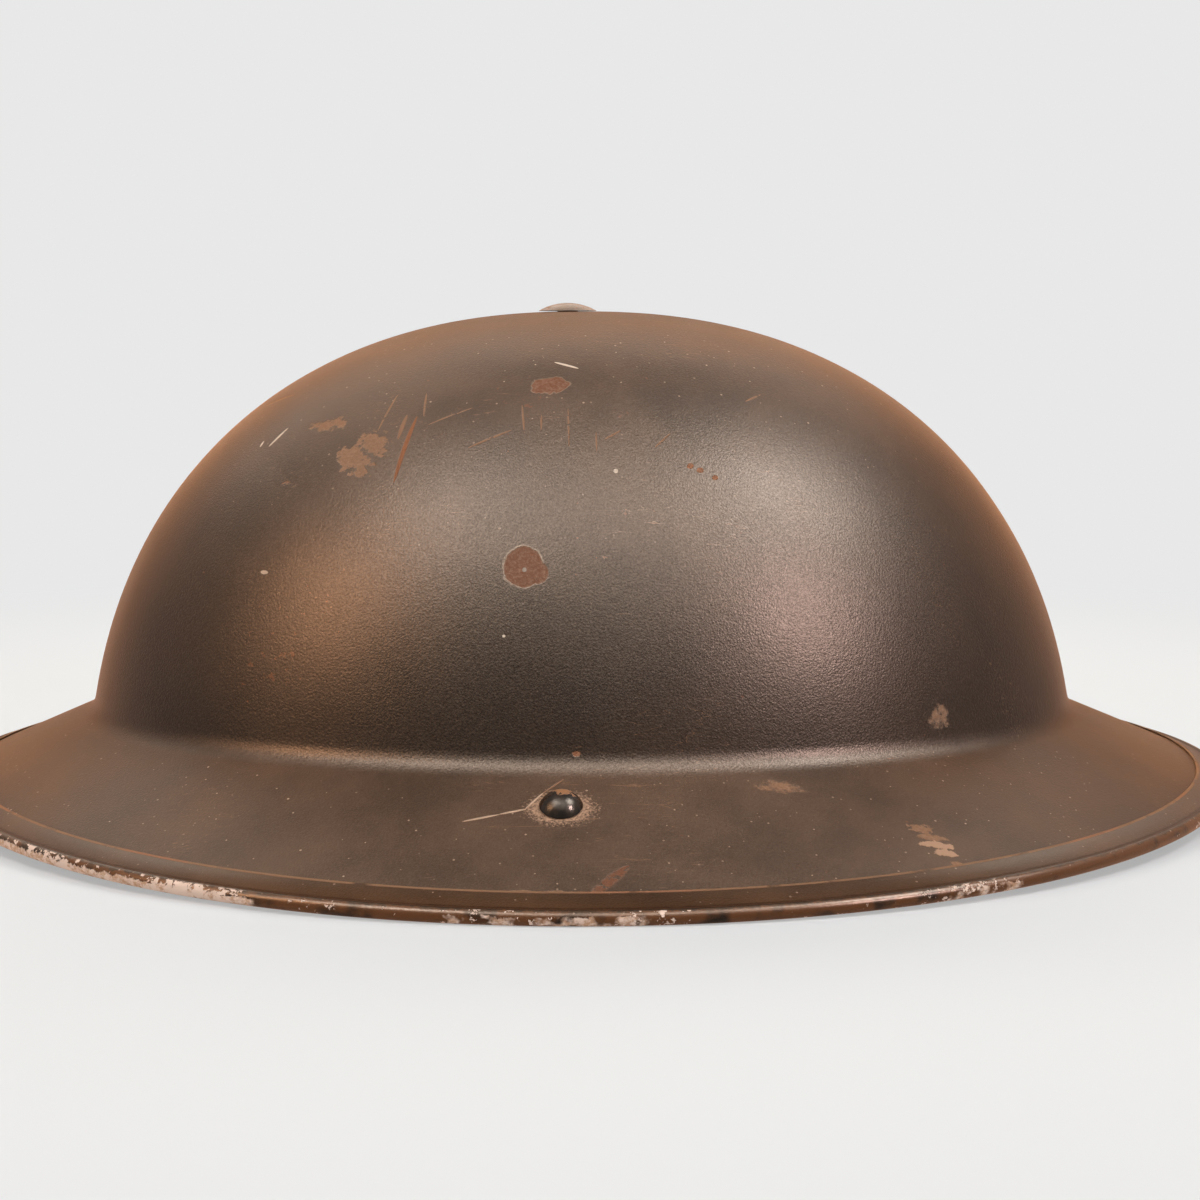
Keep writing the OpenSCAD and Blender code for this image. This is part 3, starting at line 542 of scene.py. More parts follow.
def makeStripPaint():
    place, up = startMaterial("strip_paint")
    base, dust, grain = paintBase(place, up)
    around = layOf(place.tree)[0]
    spot = partsOf(place)
    azimuth = calc("ARCTAN2", spot["Y"], spot["X"]) * (180 / math.pi)
    wear = strongest([band(azimuth, start, end, 6.0) * level for start, end, level in stripWear])
    torn = noiseAt(place, 0.5, 4, 0.65) - 0.5
    ragged = scaled(torn, 3.0, around)
    rust = band(ragged, *stripLook["bead"], 0.5) * ramp(noiseAt(place, 0.1, 3), 0.36, 0.5)
    base = blendColour(rust, base, stripLook["rust"])
    streak = ramp(noiseAt(place, 0.9, 4, 0.7), 0.35, 0.65)
    breaking = scaled(noiseAt(place, 0.22, 3, 0.6), 0.9, wear)
    rub = band(ragged, *stripLook["rubbed"], 0.35) * ramp(breaking, 1.12, 1.26)
    base = blendColour(rub, base, blendColour(streak, stripLook["rub"], stripLook["chip"]))
    small = useGroup(flecks, Vector=place, Scale=0.55, Patch=0.05, Gather=0.3,
                     Cover=scaled(wear, 0.09, 0.335))
    large = useGroup(flecks, Vector=place, Scale=0.26, Patch=0.05, Gather=0.3,
                     Cover=scaled(wear, 0.20, 0.27))
    chips = calc("MAXIMUM", small["Mask"], large["Mask"]) * band(around, *stripLook["chipped"], 0.6)
    base = blendColour(chips, base, stripLook["chip"])
    edge = ramp(around, stripLook["edge"], stripLook["edge"] + 0.2, 1.0, 0.0)
    edge = edge * ramp(noiseAt(place, 0.15, 4), 0.30, 0.46)
    rusted = ramp(noiseAt(place, 0.03, 2), 0.52, 0.56)
    base = blendColour(edge, base, blendColour(rusted, stripLook["edgeWorn"], stripLook["edgeRust"]))
    # painted shade: a near-black ragged band in the hollow where leg and bead meet
    fold = band(scaled(torn, 1.2, around), *stripLook["fold"], 0.5)
    base = blendColour(fold * 0.93, base, stripLook["gap"])
    worn = strongest([chips, edge, rub])
    rough = scaled(worn, 0.4, scaled(dust, 0.1, paintLook["roughness"] - 0.06))
    endMaterial(base, rough, scaled(worn, -0.8, grain * 0.5), paintLook["grainHeight"], paintShader,
                {"Specular IOR Level": fadedGloss(place)})


def makeFastenerPaint():
    place, up = startMaterial("fastener_paint")
    base, _, grain = paintBase(place, up)
    worn = useGroup(flecks, Vector=place, Scale=0.5, Cover=0.40, Patch=0.1, Gather=0.3)["Mask"]
    base = blendColour(worn * 0.8, base, paintLook["primer"])
    endMaterial(base, scaled(worn, 0.2, 0.38), scaled(worn, -0.6, grain), 0.06, paintShader)


def makeRivetPaint():
    place, up = startMaterial("rivet_paint")
    # brown patch on the top, where it faces up: rubbed paint, made rougher and lower, and a painted
    # highlight there too
    top = ramp(scaled(noiseAt(place, 0.5, 4, 0.6) - 0.5, 1.1, up), 0.86, 0.9)
    cloud = ramp(noiseAt(place, 0.4, 3), 0.4, 0.6)
    base = blendColour(cloud, colour(24, 19, 16), colour(44, 34, 27))
    base = blendColour(top, base, colour(148, 98, 56))
    endMaterial(base, scaled(top, 0.35, 0.24), noiseAt(place, 0.9, 3) + top * -0.8, 0.06, {
        "Specular IOR Level": 0.16, "Specular Tint": (1.0, 0.88, 0.76, 1), "Sheen Weight": 0.15,
        "Sheen Roughness": 0.4, "Sheen Tint": paintLook["sheenTint"]})


# Metals: clean, filmed and stained colours, roughness, how much the film covers
metalLooks = {
    "plain_steel": (colour(168, 164, 156), colour(112, 104, 94), colour(92, 60, 40), 0.30, 0.50),
    "brass": (colour(202, 168, 98), colour(140, 108, 60), colour(72, 56, 34), 0.28, 0.46),
}


def makeMetal(name):
    # bright metal with a dull film on it and stains that aren't metallic any more
    clean, dull, stain, roughness, cover = metalLooks[name]
    place = startMaterial(name)[0]
    film = useGroup(tarnish, Vector=place, Scale=0.22, Cover=cover)
    rust = useGroup(tarnish, Vector=place, Scale=0.7, Cover=cover - 0.12)
    base = blendColour(film["Mask"], clean, dull)
    stained = calc("MAXIMUM", rust["Mask"], film["Spots"] * film["Mask"])
    base = blendColour(stained, base, stain)
    rough = scaled(stained, 0.25, scaled(film["Mask"], 0.18, roughness))
    endMaterial(base, rough, scaled(stained, 0.5, noiseAt(place, 2.5, 3)), 0.02,
                masked={"Metallic": scaled(stained, -0.85, 1.0)})


def makeRubber():
    place = startMaterial("black_rubber")[0]
    grain = useGroup(sandGrain, Vector=place, Scale=1.6)["Height"]
    bloom = ramp(noiseAt(place, 0.15, 6, 0.65), 0.42, 0.72)
    base = blendColour(bloom, colour(34, 32, 31), colour(84, 76, 68))
    cracks = useGroup(leatherGrain, Vector=place, Scale=0.9)["Cracks"]
    base = blendColour(cracks * 0.7, base, colour(14, 13, 12))
    endMaterial(base, scaled(bloom, 0.2, 0.62), scaled(cracks, -0.8, grain), 0.05,
                {"Specular IOR Level": 0.35})


def makeFibre():
    place = startMaterial("fibre")[0]
    streaks = noiseAt(stretched(place, (0.25, 0.25, 1.6)), 1, 6, 0.7)
    cloud = ramp(noiseAt(place, 0.05, 5, 0.6), 0.45, 0.7)
    base = blendColour(ramp(streaks, 0.35, 0.65), colour(92, 52, 34), colour(122, 74, 48))
    base = blendColour(cloud, base, colour(68, 42, 30))
    scuffs = useGroup(flecks, Vector=place, Scale=0.3, Cover=0.33, Patch=0.06, Gather=0.4)["Mask"]
    base = blendColour(scuffs * 0.6, base, colour(158, 122, 92))
    rough = scaled(scuffs, 0.2, scaled(streaks, 0.2, 0.42))
    endMaterial(base, rough, streaks, 0.06, {"Specular IOR Level": 0.4})


def makeOilcloth():
    place = startMaterial("oilcloth")[0]
    grain = useGroup(leatherGrain, Vector=place, Scale=1.0)
    cloud = ramp(noiseAt(place, 0.06, 5, 0.6), 0.4, 0.7)
    base = blendColour(cloud, colour(34, 28, 25), colour(56, 42, 33))
    base = blendColour(grain["Cracks"] * 0.6, base, colour(112, 86, 62))
    rubbed = useGroup(flecks, Vector=place, Scale=0.35, Cover=0.3, Patch=0.05, Gather=0.4)["Mask"]
    base = blendColour(rubbed * 0.5, base, colour(104, 80, 58))
    rough = scaled(rubbed, 0.2, scaled(cloud, 0.15, 0.40))
    endMaterial(base, rough, scaled(grain["Cracks"], -0.3, grain["Height"]), 0.16,
                {"Specular IOR Level": 0.5})


webbingLook = {"warp": 0.95, "weft": 0.8, "height": 0.22}


def makeWebbing():
    place = startMaterial("webbing")[0]
    across, along = layOf(place.tree)
    woven = useGroup(weave, Across=across, Along=along, Warp=webbingLook["warp"],
                     Weft=webbingLook["weft"])
    fuzz = noiseAt(place, 2.2, 4, 0.7)
    soil = ramp(noiseAt(place, 0.05, 6, 0.65), 0.42, 0.72)
    base = blendColour(fuzz, colour(112, 98, 70), colour(150, 134, 100))
    base = blendColour(soil * 0.55, base, colour(78, 62, 44))
    base = blendColour(woven["Gaps"] * 0.7, base, colour(54, 44, 31))
    endMaterial(base, scaled(fuzz, 0.15, 0.78), scaled(fuzz, 0.25, woven["Height"]),
                webbingLook["height"], {
                    "Specular IOR Level": 0.2, "Sheen Weight": 0.25, "Sheen Roughness": 0.6,
                    "Sheen Tint": colour(214, 196, 160)})


makeShellPaint()
makeStripPaint()
makeFastenerPaint()
makeRivetPaint()
makeMetal("plain_steel")
makeMetal("brass")
makeRubber()
makeFibre()
makeOilcloth()
makeWebbing()
print("materials built:", len(materials))

# Mesh helpers. Points are millimetres, a form is its points, faces and lays, and a lay is a
# corner's place across and along the piece


sharpAngle = 38         # degrees; flatter edges are shaded smooth


def makePiece(name, form, body, slot, sharp=sharpAngle):
    points, faces, lays = form
    mesh = bpy.data.meshes.new(name)
    mesh.from_pydata([Vector(p) * mm for p in points], [], faces)
    if lays:
        layer = mesh.uv_layers.new(name="lay")
        corners = [corner for lay in lays for corner in lay]
        layer.data.foreach_set("uv", [value for corner in corners for value in corner])
    shape = bmesh.new()
    shape.from_mesh(mesh)
    bmesh.ops.recalc_face_normals(shape, faces=shape.faces)
    shape.to_mesh(mesh)
    shape.free()
    mesh.polygons.foreach_set("use_smooth", [True] * len(mesh.polygons))
    mesh.set_sharp_from_angle(angle=math.radians(sharp))
    mesh.update()
    piece = addObject(name, mesh)
    mesh.materials.append(materials[slot])
    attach(piece, body)
    return piece


def moved(form, matrix):
    points, faces, lays = form
    return [matrix @ Vector(p) for p in points], faces, lays


class Shape:
    # gathers several closed forms into the points, faces and lays of one piece
    def __init__(self):
        self.points, self.faces, self.lays = [], [], []

    def add(self, form, matrix=Matrix()):
        points, faces, lays = moved(form, matrix)
        start = len(self.points)
        self.points += points
        self.faces += [[start + i for i in face] for face in faces]
        self.lays += lays

    def piece(self, name, body, slot, sharp=sharpAngle):
        return makePiece(name, (self.points, self.faces, self.lays), body, slot, sharp)


def sweep(frames, section, closed=False, scales=None):
    # frames: (middle, wide axis, thick axis); section: a closed outline of (wide, thick)
    count, size = len(frames), len(section)
    points = []
    for i, (middle, wide, thick) in enumerate(frames):
        sx, sy = scales[i] if scales else (1, 1)
        points += [middle + wide * (x * sx) + thick * (y * sy) for x, y in section]
    around = [0.0]
    for j in range(size):
        around.append(around[-1] + (Vector(section[(j + 1) % size]) - Vector(section[j])).length)
    along = [0.0]
    for i in range(count - 1 + closed):
        along.append(along[-1] + (frames[(i + 1) % count][0] - frames[i][0]).length)
    faces, lays = [], []
    for i in range(count - 1 + closed):
        a, b = i * size, (i + 1) % count * size
        for j in range(size):
            k = (j + 1) % size
            faces.append([a + j, a + k, b + k, b + j])
            lays.append([(around[j], along[i]), (around[j + 1], along[i]),
                         (around[j + 1], along[i + 1]), (around[j], along[i + 1])])
    if not closed:
        last = (count - 1) * size
        faces += [list(range(size - 1, -1, -1)), [last + j for j in range(size)]]
        lays += [[tuple(section[j]) for j in range(size - 1, -1, -1)],
                 [tuple(section[j]) for j in range(size)]]
    return points, faces, lays


def lathe(profile, steps=48):
    # turns (radius, height) points round Z; the first and last lie on the axis
    points, faces, lays = [(0, 0, profile[0][1])], [], []
    rows = profile[1:-1]
    for radius, height in rows:
        points += [(*circlePoint(radius, i, steps), height) for i in range(steps)]
    points.append((0, 0, profile[-1][1]))
    end = len(points) - 1
    for i in range(steps):
        k = (i + 1) % steps
        faces.append([0, 1 + k, 1 + i])
        lays.append([(0, 0)] * 3)
        for r in range(len(rows) - 1):
            a, b = 1 + r * steps, 1 + (r + 1) * steps
            faces.append([a + i, a + k, b + k, b + i])
            lays.append([(i, r), (i + 1, r), (i + 1, r + 1), (i, r + 1)])
        last = 1 + (len(rows) - 1) * steps
        faces.append([last + i, last + k, end])
        lays.append([(0, 0)] * 3)
    return points, faces, lays


def turnRing(section, steps=48):
    # turns a closed (radius, height) outline that keeps clear of Z
    frames = [(Vector((0, 0, 0)), Vector((*circlePoint(1, i, steps), 0)), zAxis)
              for i in range(steps)]
    return sweep(frames, section, closed=True)


def circlePoint(radius, i, steps):
    angle = 2 * math.pi * i / steps
    return radius * math.cos(angle), radius * math.sin(angle)


def ringFaces(steps, rows, first=1):
    # quads between rows of points that go round, row by row
    return [[a + i, a + (i + 1) % steps, a + steps + (i + 1) % steps, a + steps + i]
            for a in (first + r * steps for r in range(rows - 1)) for i in range(steps)]


def arcPoints(centre, radius, start, end, steps):
    # angles in degrees
    angles = [math.radians(start + (end - start) * i / steps) for i in range(steps + 1)]
    return [(centre[0] + radius * math.cos(a), centre[1] + radius * math.sin(a)) for a in angles]


def roundedBox(width, height, radius, steps=4):
    x, y = width / 2 - radius, height / 2 - radius
    return [p for sx, sy, start in ((1, 1, 0), (-1, 1, 90), (-1, -1, 180), (1, -1, 270))
            for p in arcPoints((sx * x, sy * y), radius, start, start + 90, steps)]


def roundedLoop(corners, radius, steps=6, closed=True):
    # a path through corners with each one rounded off
    path = []
    count = len(corners)
    for i, corner in enumerate(corners):
        corner = Vector(corner)
        if not closed and i in (0, count - 1):
            path.append(corner)
            continue
        before = (Vector(corners[i - 1]) - corner).normalized()
        after = (Vector(corners[(i + 1) % count]) - corner).normalized()
        half = before.angle(after) / 2
        run = radius / math.tan(half)
        start, end = corner + before * run, corner + after * run
        for k in range(steps + 1):
            s = k / steps
            path.append(start * (1 - s) ** 2 + corner * 2 * s * (1 - s) + end * s ** 2)
    return path


def planarFrames(path, matrix, closed=False):
    # path in the matrix's XY plane; wide axis is across the path in it, thick axis is its Z
    count = len(path)
    only = matrix.to_3x3()
    frames = []
    for i, point in enumerate(path):
        before = path[i - 1] if closed or i > 0 else path[0]
        after = path[(i + 1) % count] if closed or i < count - 1 else path[-1]
        run = (Vector(after) - Vector(before)).normalized()
        frames.append((matrix @ Vector((point[0], point[1], 0)), only @ Vector((-run.y, run.x, 0)),
                       only @ zAxis))
    return frames


def axes(x, y, z, middle=(0, 0, 0)):
    # matrix whose columns are the given axes
    matrix = Matrix((x, y, z)).transposed().to_4x4()
    matrix.translation = Vector(middle)
    return matrix


def shift(x, y, z):
    return Matrix.Translation((x, y, z))


def turn(angle, axis):
    return Matrix.Rotation(math.radians(angle), 4, axis)


def mirrorTo(side):
    # shapes are made for the left side, the first of the two
    return Matrix.Diagonal((1, 1 if side == 0 else -1, 1, 1))


def cutWith(piece, cutters):
    # takes closed forms out of a piece
    shape = Shape()
    for form in cutters:
        shape.add(form)
    mesh = bpy.data.meshes.new("cutter")
    mesh.from_pydata([p * mm for p in shape.points], [], shape.faces)
    cutter = addObject("cutter", mesh)
    modifier = piece.modifiers.new("cut", "BOOLEAN")
    modifier.object = cutter
    modifier.solver = "EXACT"
    depsgraph = bpy.context.evaluated_depsgraph_get()
    cut = bpy.data.meshes.new_from_object(piece.evaluated_get(depsgraph))
    piece.modifiers.clear()
    piece.data = cut
    cut.set_sharp_from_angle(angle=math.radians(sharpAngle))
    bpy.data.objects.remove(cutter)


def rod(radius, low, high, matrix=Matrix(), steps=32):
    return moved(lathe([(0, low), (radius, low), (radius, high), (0, high)], steps), matrix)


def block(low, high, matrix=Matrix()):
    points = [(x, y, z) for z in (low[2], high[2]) for y in (low[1], high[1])
              for x in (low[0], high[0])]
    faces = [[0, 2, 3, 1], [4, 5, 7, 6], [0, 1, 5, 4], [2, 6, 7, 3], [0, 4, 6, 2], [1, 3, 7, 5]]
    return moved((points, faces, [[(0, 0)] * 4] * 6), matrix)


# Shell: one pressed skin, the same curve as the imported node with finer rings

shell = {
    "rimLength": 312.0,
    "rimWidth": 292.0,
    "rimLift": 4.0,
    "domeLength": 239.0,
    "domeWidth": 202.0,
    "domeTop": 116.6,
    "domeBase": -4.9,
    "domePower": 2.26,
    "creaseFront": 21.0,
    "creaseSide": 22.5,
    "bend": 3.6,
    "back": 0.8,
    "wall": 1.0,
    "beadRadius": 1.6,
    "azimuths": 240,
    "domeRings": 56,
    "bendRings": 10,
    "brimRings": 14,
    "waviness": 0.10,
    "waveLengths": (46.0, 19.0),
    "waveFade": 12,                     # rings
    "screwHole": 2.65,                  # radius
    "rivetHole": 2.15,
    "rivetOut": 12.0,
    "screwBack": 4.2,
}
screwBack = shell["screwBack"]
power = shell["domePower"]
domeRise = shell["domeTop"] - shell["domeBase"]
skinRings = shell["domeRings"] + shell["bendRings"] + shell["brimRings"]


def domeShare(z, rise=domeRise):
    return (1 - ((z - shell["domeBase"]) / rise) ** power) ** (1 / power)


domeA = shell["domeLength"] / 2 / domeShare(shell["creaseFront"])
domeB = shell["domeWidth"] / 2 / domeShare(shell["creaseSide"])


def domePoint(azimuth, share, z):
    return Vector((domeA * share * math.cos(azimuth) - shell["back"],
                   domeB * share * math.sin(azimuth), z))


def creaseZ(azimuth):
    return shell["creaseSide"] + (shell["creaseFront"] - shell["creaseSide"]) * math.cos(azimuth) ** 2


def creasePoint(azimuth):
    z = creaseZ(azimuth)
    return domePoint(azimuth, domeShare(z), z)


def edgeMiddle(azimuth):
    bead = shell["beadRadius"]
    return Vector(((shell["rimLength"] / 2 - bead) * math.cos(azimuth),
                   (shell["rimWidth"] / 2 - bead) * math.sin(azimuth),
                   bead + shell["rimLift"] * math.cos(azimuth) ** 2))


def brimOut(azimuth):
    return (edgeMiddle(azimuth) - creasePoint(azimuth)).normalized()


def brimNormal(azimuth):
    d = edgeMiddle(azimuth) - creasePoint(azimuth)
    run = math.hypot(d.x, d.y)
    return Vector((-d.x * d.z / run, -d.y * d.z / run, run)).normalized()


def edgePoint(azimuth):
    return edgeMiddle(azimuth) + brimNormal(azimuth) * shell["wall"] / 2


def skinPoint(azimuth, ring):
    topZ = creaseZ(azimuth) + shell["bend"]
    if ring <= shell["domeRings"]:
        t = ring / shell["domeRings"] * math.asin(domeShare(topZ) ** (power / 2))
        return domePoint(azimuth, math.sin(t) ** (2 / power),
                         shell["domeBase"] + domeRise * math.cos(t) ** (2 / power))
    crease = creasePoint(azimuth)
    foot = crease + (edgePoint(azimuth) - crease).normalized() * shell["bend"]
    s = (ring - shell["domeRings"]) / shell["bendRings"]
    if s <= 1:
        return (domePoint(azimuth, domeShare(topZ), topZ) * (1 - s) ** 2 + crease * 2 * s * (1 - s)
                + foot * s ** 2)
    s = (ring - shell["domeRings"] - shell["bendRings"]) / shell["brimRings"]
    return foot.lerp(edgePoint(azimuth), s)


def skinNormal(azimuth, ring):
    low, high = max(ring - 0.4, 0.2), min(ring + 0.4, skinRings)
    rise = skinPoint(azimuth, high) - skinPoint(azimuth, low)
    across = skinPoint(azimuth + 0.02, ring) - skinPoint(azimuth - 0.02, ring)
    return rise.cross(across).normalized()


def presswork(point, ring):
    # slight hand-pressed waviness, none at the crown and the edge
    fade = min(1, ring / shell["waveFade"]) * min(1, (skinRings - ring) / shell["waveFade"])
    long, short = (noise.noise(point / length) for length in shell["waveLengths"])
    return shell["waviness"] * fade * (long + 0.4 * short)


def brimMatrix(side):
    # on the brim's outer face at a side rivet: Y down the slope, Z out of it
    return mirrorTo(side) @ shift(-screwBack, rivetY, rivetZ) @ turn(-brimSlope, "X")


sideFoot = creasePoint(math.pi / 2)
sideEdge = edgePoint(math.pi / 2)
brimSlope = math.degrees(math.atan2(sideFoot.z - sideEdge.z, sideEdge.y - sideFoot.y))
rivetY = shell["domeWidth"] / 2 + shell["rivetOut"]
rivetZ = sideFoot.z - (rivetY - sideFoot.y) * math.tan(math.radians(brimSlope))


def buildShell():
    count = shell["azimuths"]
    outer, inner = [], []
    for ring in range(1, skinRings + 1):
        row = []
        for i in range(count):
            azimuth = 2 * math.pi * i / count
            point, normal = skinPoint(azimuth, ring), skinNormal(azimuth, ring)
            row.append((point + normal * presswork(point, ring), normal))
        outer += [point for point, normal in row]
        inner = [point - normal * shell["wall"] for point, normal in row] + inner
    points = [Vector((-shell["back"], 0, shell["domeTop"]))] + outer + inner
    points.append(Vector((-shell["back"], 0, shell["domeTop"] - shell["wall"])))
    faces = []
    rows = 2 * skinRings
    last = 1 + (rows - 1) * count
    for i in range(count):
        k = (i + 1) % count
        faces += [[0, 1 + i, 1 + k], [len(points) - 1, last + k, last + i]]
        for a in range(1, last, count):
            faces.append([a + i, a + count + i, a + count + k, a + k])
    piece = makePiece("pressed_shell", (points, faces, None), "helmet", "shell_paint", sharp=60)
    rivetHoles = [rod(shell["rivetHole"], -5, 5, brimMatrix(side)) for side in (0, 1)]
    cutWith(piece, [rod(shell["screwHole"], -6, 6, shift(-screwBack, 0, shell["domeTop"]))] + rivetHoles)
    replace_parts(piece, "shell")


buildShell()
print("shell built")

# Rim strip: folded over the shell's edge, butted at the back

strip = {"wall": 0.45, "gap": 0.08, "topLeg": 6.8, "lowLeg": 5.0, "joint": 0.6, "rings": 360}


def stripSection():
    inside = shell["wall"] / 2 + strip["gap"]
    outside = inside + strip["wall"]
    bead = shell["beadRadius"]
    outTurn = 180 - math.degrees(math.asin(outside / bead))
    inTurn = 180 - math.degrees(math.asin(inside / (bead - strip["wall"])))
    middle = (inside + outside) / 2
    half = strip["wall"] / 2
    topEnd, lowEnd = (half - strip["topLeg"], middle), (half - strip["lowLeg"], -middle)
    return (arcPoints(topEnd, half, 180, 90, 3) + arcPoints((0, 0), bead, outTurn, -outTurn, 26)
            + arcPoints(lowEnd, half, 270, 90, 6)
            + arcPoints((0, 0), bead - strip["wall"], -inTurn, inTurn, 14)
            + arcPoints(topEnd, half, 270, 180, 3)[:-1])


def buildRimStrip():
    half = math.pi - strip["joint"] / shell["rimWidth"]
    frames = []
    for i in range(strip["rings"] + 1):
        azimuth = half * (2 * i / strip["rings"] - 1)
        frames.append((edgeMiddle(azimuth), brimOut(azimuth), brimNormal(azimuth)))
    form = sweep(frames, stripSection())
    piece = makePiece("rolled_rim_strip", form, "helmet", "strip_paint", sharp=50)
    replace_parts(piece, "rim_strip")


buildRimStrip()
print("rim strip built")

# Crown fastening

crown = {"headRadius": 7.2, "headHeight": 2.0, "lip": 0.2, "screwRadius": 2.5, "slotWidth": 1.4,
         "slotDepth": 0.9, "nutHeight": 4.0, "plateHeight": 1.0, "seat": 0.05, "lie": 0.3}
liner = {"headRoomX": 21.0, "headRoomY": 22.0, "sweatbandWall": 2.0, "bandGap": 1.0, "bandWall": 1.2,
         "bandBottom": 17.5, "bandHeight": 34.0, "strapWall": 1.2, "strapWidth": 20.0, "tail": 15.0,
         "strapCorner": 3.5, "crownAir": 8.5, "flatHalf": 17.0, "bufferWall": 2.0,
         "bufferAngles": (22, 47, 72)}
headA = shell["domeLength"] / 2 - liner["headRoomX"]
headB = shell["domeWidth"] / 2 - liner["headRoomY"]
linerRise = domeRise - shell["wall"] - liner["crownAir"]
bandTop = liner["bandBottom"] + liner["bandHeight"]
bandInA = headA + liner["sweatbandWall"] + liner["bandGap"]
bandInB = headB + liner["sweatbandWall"] + liner["bandGap"]
bandOutA, bandOutB = bandInA + liner["bandWall"], bandInB + liner["bandWall"]
longOut = bandOutA + crown["seat"] + liner["strapWall"]
crossOut = bandOutB + crown["seat"] + liner["strapWall"]


def archHeight(x, a, rise):
    return shell["domeBase"] + rise * (1 - (x / a) ** power) ** (1 / power)


longFlat = archHeight(liner["flatHalf"], longOut / domeShare(bandTop, linerRise), linerRise)
crossFlat = longFlat - liner["strapWall"] - crown["seat"]
crossUnder = crossFlat - liner["strapWall"]
nutTop = crossUnder - 2 * crown["seat"] - crown["plateHeight"]
screwEnd = nutTop - crown["nutHeight"] - 0.5
padTop = crossUnder - crown["lie"]


def domeCap(radius, height, steps=8):
    # (radius, height) points of a low round cap, from its pole to its edge
    ball = (radius ** 2 + height ** 2) / (2 * height)
    reach = math.asin(radius / ball)
    return [(ball * math.sin(reach * i / steps), height - ball + ball * math.cos(reach * i / steps))
            for i in range(steps + 1)]


def buildCrownScrew():
    head = shell["domeTop"] + crown["seat"]
    cap = [(r, z + head) for r, z in domeCap(crown["headRadius"], crown["headHeight"], 16)]
    cap = [p for p in cap if p[0] < crown["headRadius"] - crown["lip"]]
    edge = crown["headRadius"] - crown["lip"]
    profile = cap + [(edge - 0.05, head + 0.16), (edge, head + 0.08), (edge - 0.05, head),
                     (crown["screwRadius"], head), (crown["screwRadius"], screwEnd + 0.4),
                     (crown["screwRadius"] - 0.4, screwEnd), (0, screwEnd)]
    matrix = shift(-screwBack, 0, 0)
    form = moved(lathe(profile, 96), matrix)
    piece = makePiece("slotted_crown_screw", form, "helmet", "fastener_paint")
    top = head + crown["headHeight"]
    cutWith(piece, [block((-9, -crown["slotWidth"] / 2, top - crown["slotDepth"]),
                          (9, crown["slotWidth"] / 2, top + 2), matrix)])
    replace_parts(piece, "crown_screw")


def softenEdges(nodeName, width, slot):
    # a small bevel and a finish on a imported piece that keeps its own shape
    piece = bpy.data.objects[nodeName]
    piece.modifiers.new("weld", "WELD").merge_threshold = 0.01 * mm
    bevel = piece.modifiers.new("bevel", "BEVEL")
    bevel.width = width * mm
    bevel.segments = 3
    bevel.angle_limit = math.radians(40)
    bevel.harden_normals = True
    piece.data.materials.clear()
    piece.data.materials.append(materials[slot])


buildCrownScrew()
softenEdges("crown_spacer", 0.6, "black_rubber")
softenEdges("crown_plate", 0.25, "plain_steel")
softenEdges("crown_nut", 0.3, "brass")
print("crown fastening built")

# Liner: fibre straps and headband, oilcloth sweatband and pad, brass rivets


def archHalf(out, flat, endX, tailZ=None, steps=40):
    # half of an arch's outline, from the middle down to its leg
    rise = linerRise + flat - longFlat
    a = out / domeShare(bandTop, rise)
    lift = flat - archHeight(liner["flatHalf"], a, rise)
    start = math.asin((liner["flatHalf"] / a) ** (power / 2))
    end = math.asin((min(endX, out) / a) ** (power / 2))
    half = []
    for i in range(steps + 1):
        t = start + (end - start) * i / steps
        half.append((a * math.sin(t) ** (2 / power), shell["domeBase"]
                     + rise * math.cos(t) ** (2 / power) + lift * (1 - i / steps)))
    if tailZ is not None:
        half += [(out, bandTop - 0.5 - (bandTop - 0.5 - tailZ) * i / 8) for i in range(9)]
    return half


def roundedEnds(frames, half, radius):
    # scales that round the two ends of a strap whose half width is half
    lengths = [0.0]
    for i in range(1, len(frames)):
        lengths.append(lengths[-1] + (frames[i][0] - frames[i - 1][0]).length)
    scales = []
    for s in lengths:
        d = min(s, lengths[-1] - s)
        cut = 0 if d >= radius else radius - math.sqrt(radius ** 2 - (radius - d) ** 2)
        scales.append((half - cut) / half)
    return scales


def densifyEnds(path, radius, steps=6):
    # adds points near both ends so that the corners can be rounded
    def ends(points):
        a, b = Vector(points[0]), Vector(points[1])
        extra = [a + (b - a).normalized() * radius * (1 - math.cos(math.pi / 2 * k / steps))
                 for k in range(steps + 1)]
        rest = [Vector(p) for p in points[1:] if (Vector(p) - a).length > radius * 1.05]
        return extra + rest
    path = ends([Vector(p) for p in path])
    path.reverse()
    path = ends(path)
    path.reverse()
    return path


def buildCrownStrap(name, node, out, flat, middle, across):
    wall, half, corner = liner["strapWall"], liner["strapWidth"] / 2, liner["strapCorner"]
    side = archHalf(out - wall / 2, flat - wall / 2, out - wall / 2, bandTop - liner["tail"])
    path = [(-x, z) for x, z in reversed(side)] + side
    path = densifyEnds(path, corner)
    if across:
        matrix = axes((0, 1, 0), (0, 0, 1), (1, 0, 0), (middle, 0, 0))
    else:
        matrix = axes((1, 0, 0), (0, 0, 1), (0, -1, 0), (middle, 0, 0))
    frames = planarFrames(path, matrix)
    scales = [(1, s) for s in roundedEnds(frames, half, corner)]
    section = roundedBox(wall, 2 * half, 0.35, 3)
    piece = makePiece(name, sweep(frames, section, scales=scales), "helmet", "fibre")
    cutWith(piece, [rod(shell["screwHole"], -8, 4, shift(-screwBack, 0, longFlat))])
    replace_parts(piece, node)


def ovalFrames(a, b, steps=180):
    frames = []
    for i in range(steps):
        x, y = circlePoint(1, i, steps)
        frames.append((Vector((a * x - shell["back"], b * y, 0)),
                       Vector((x / a, y / b, 0)).normalized(), zAxis))
    return frames


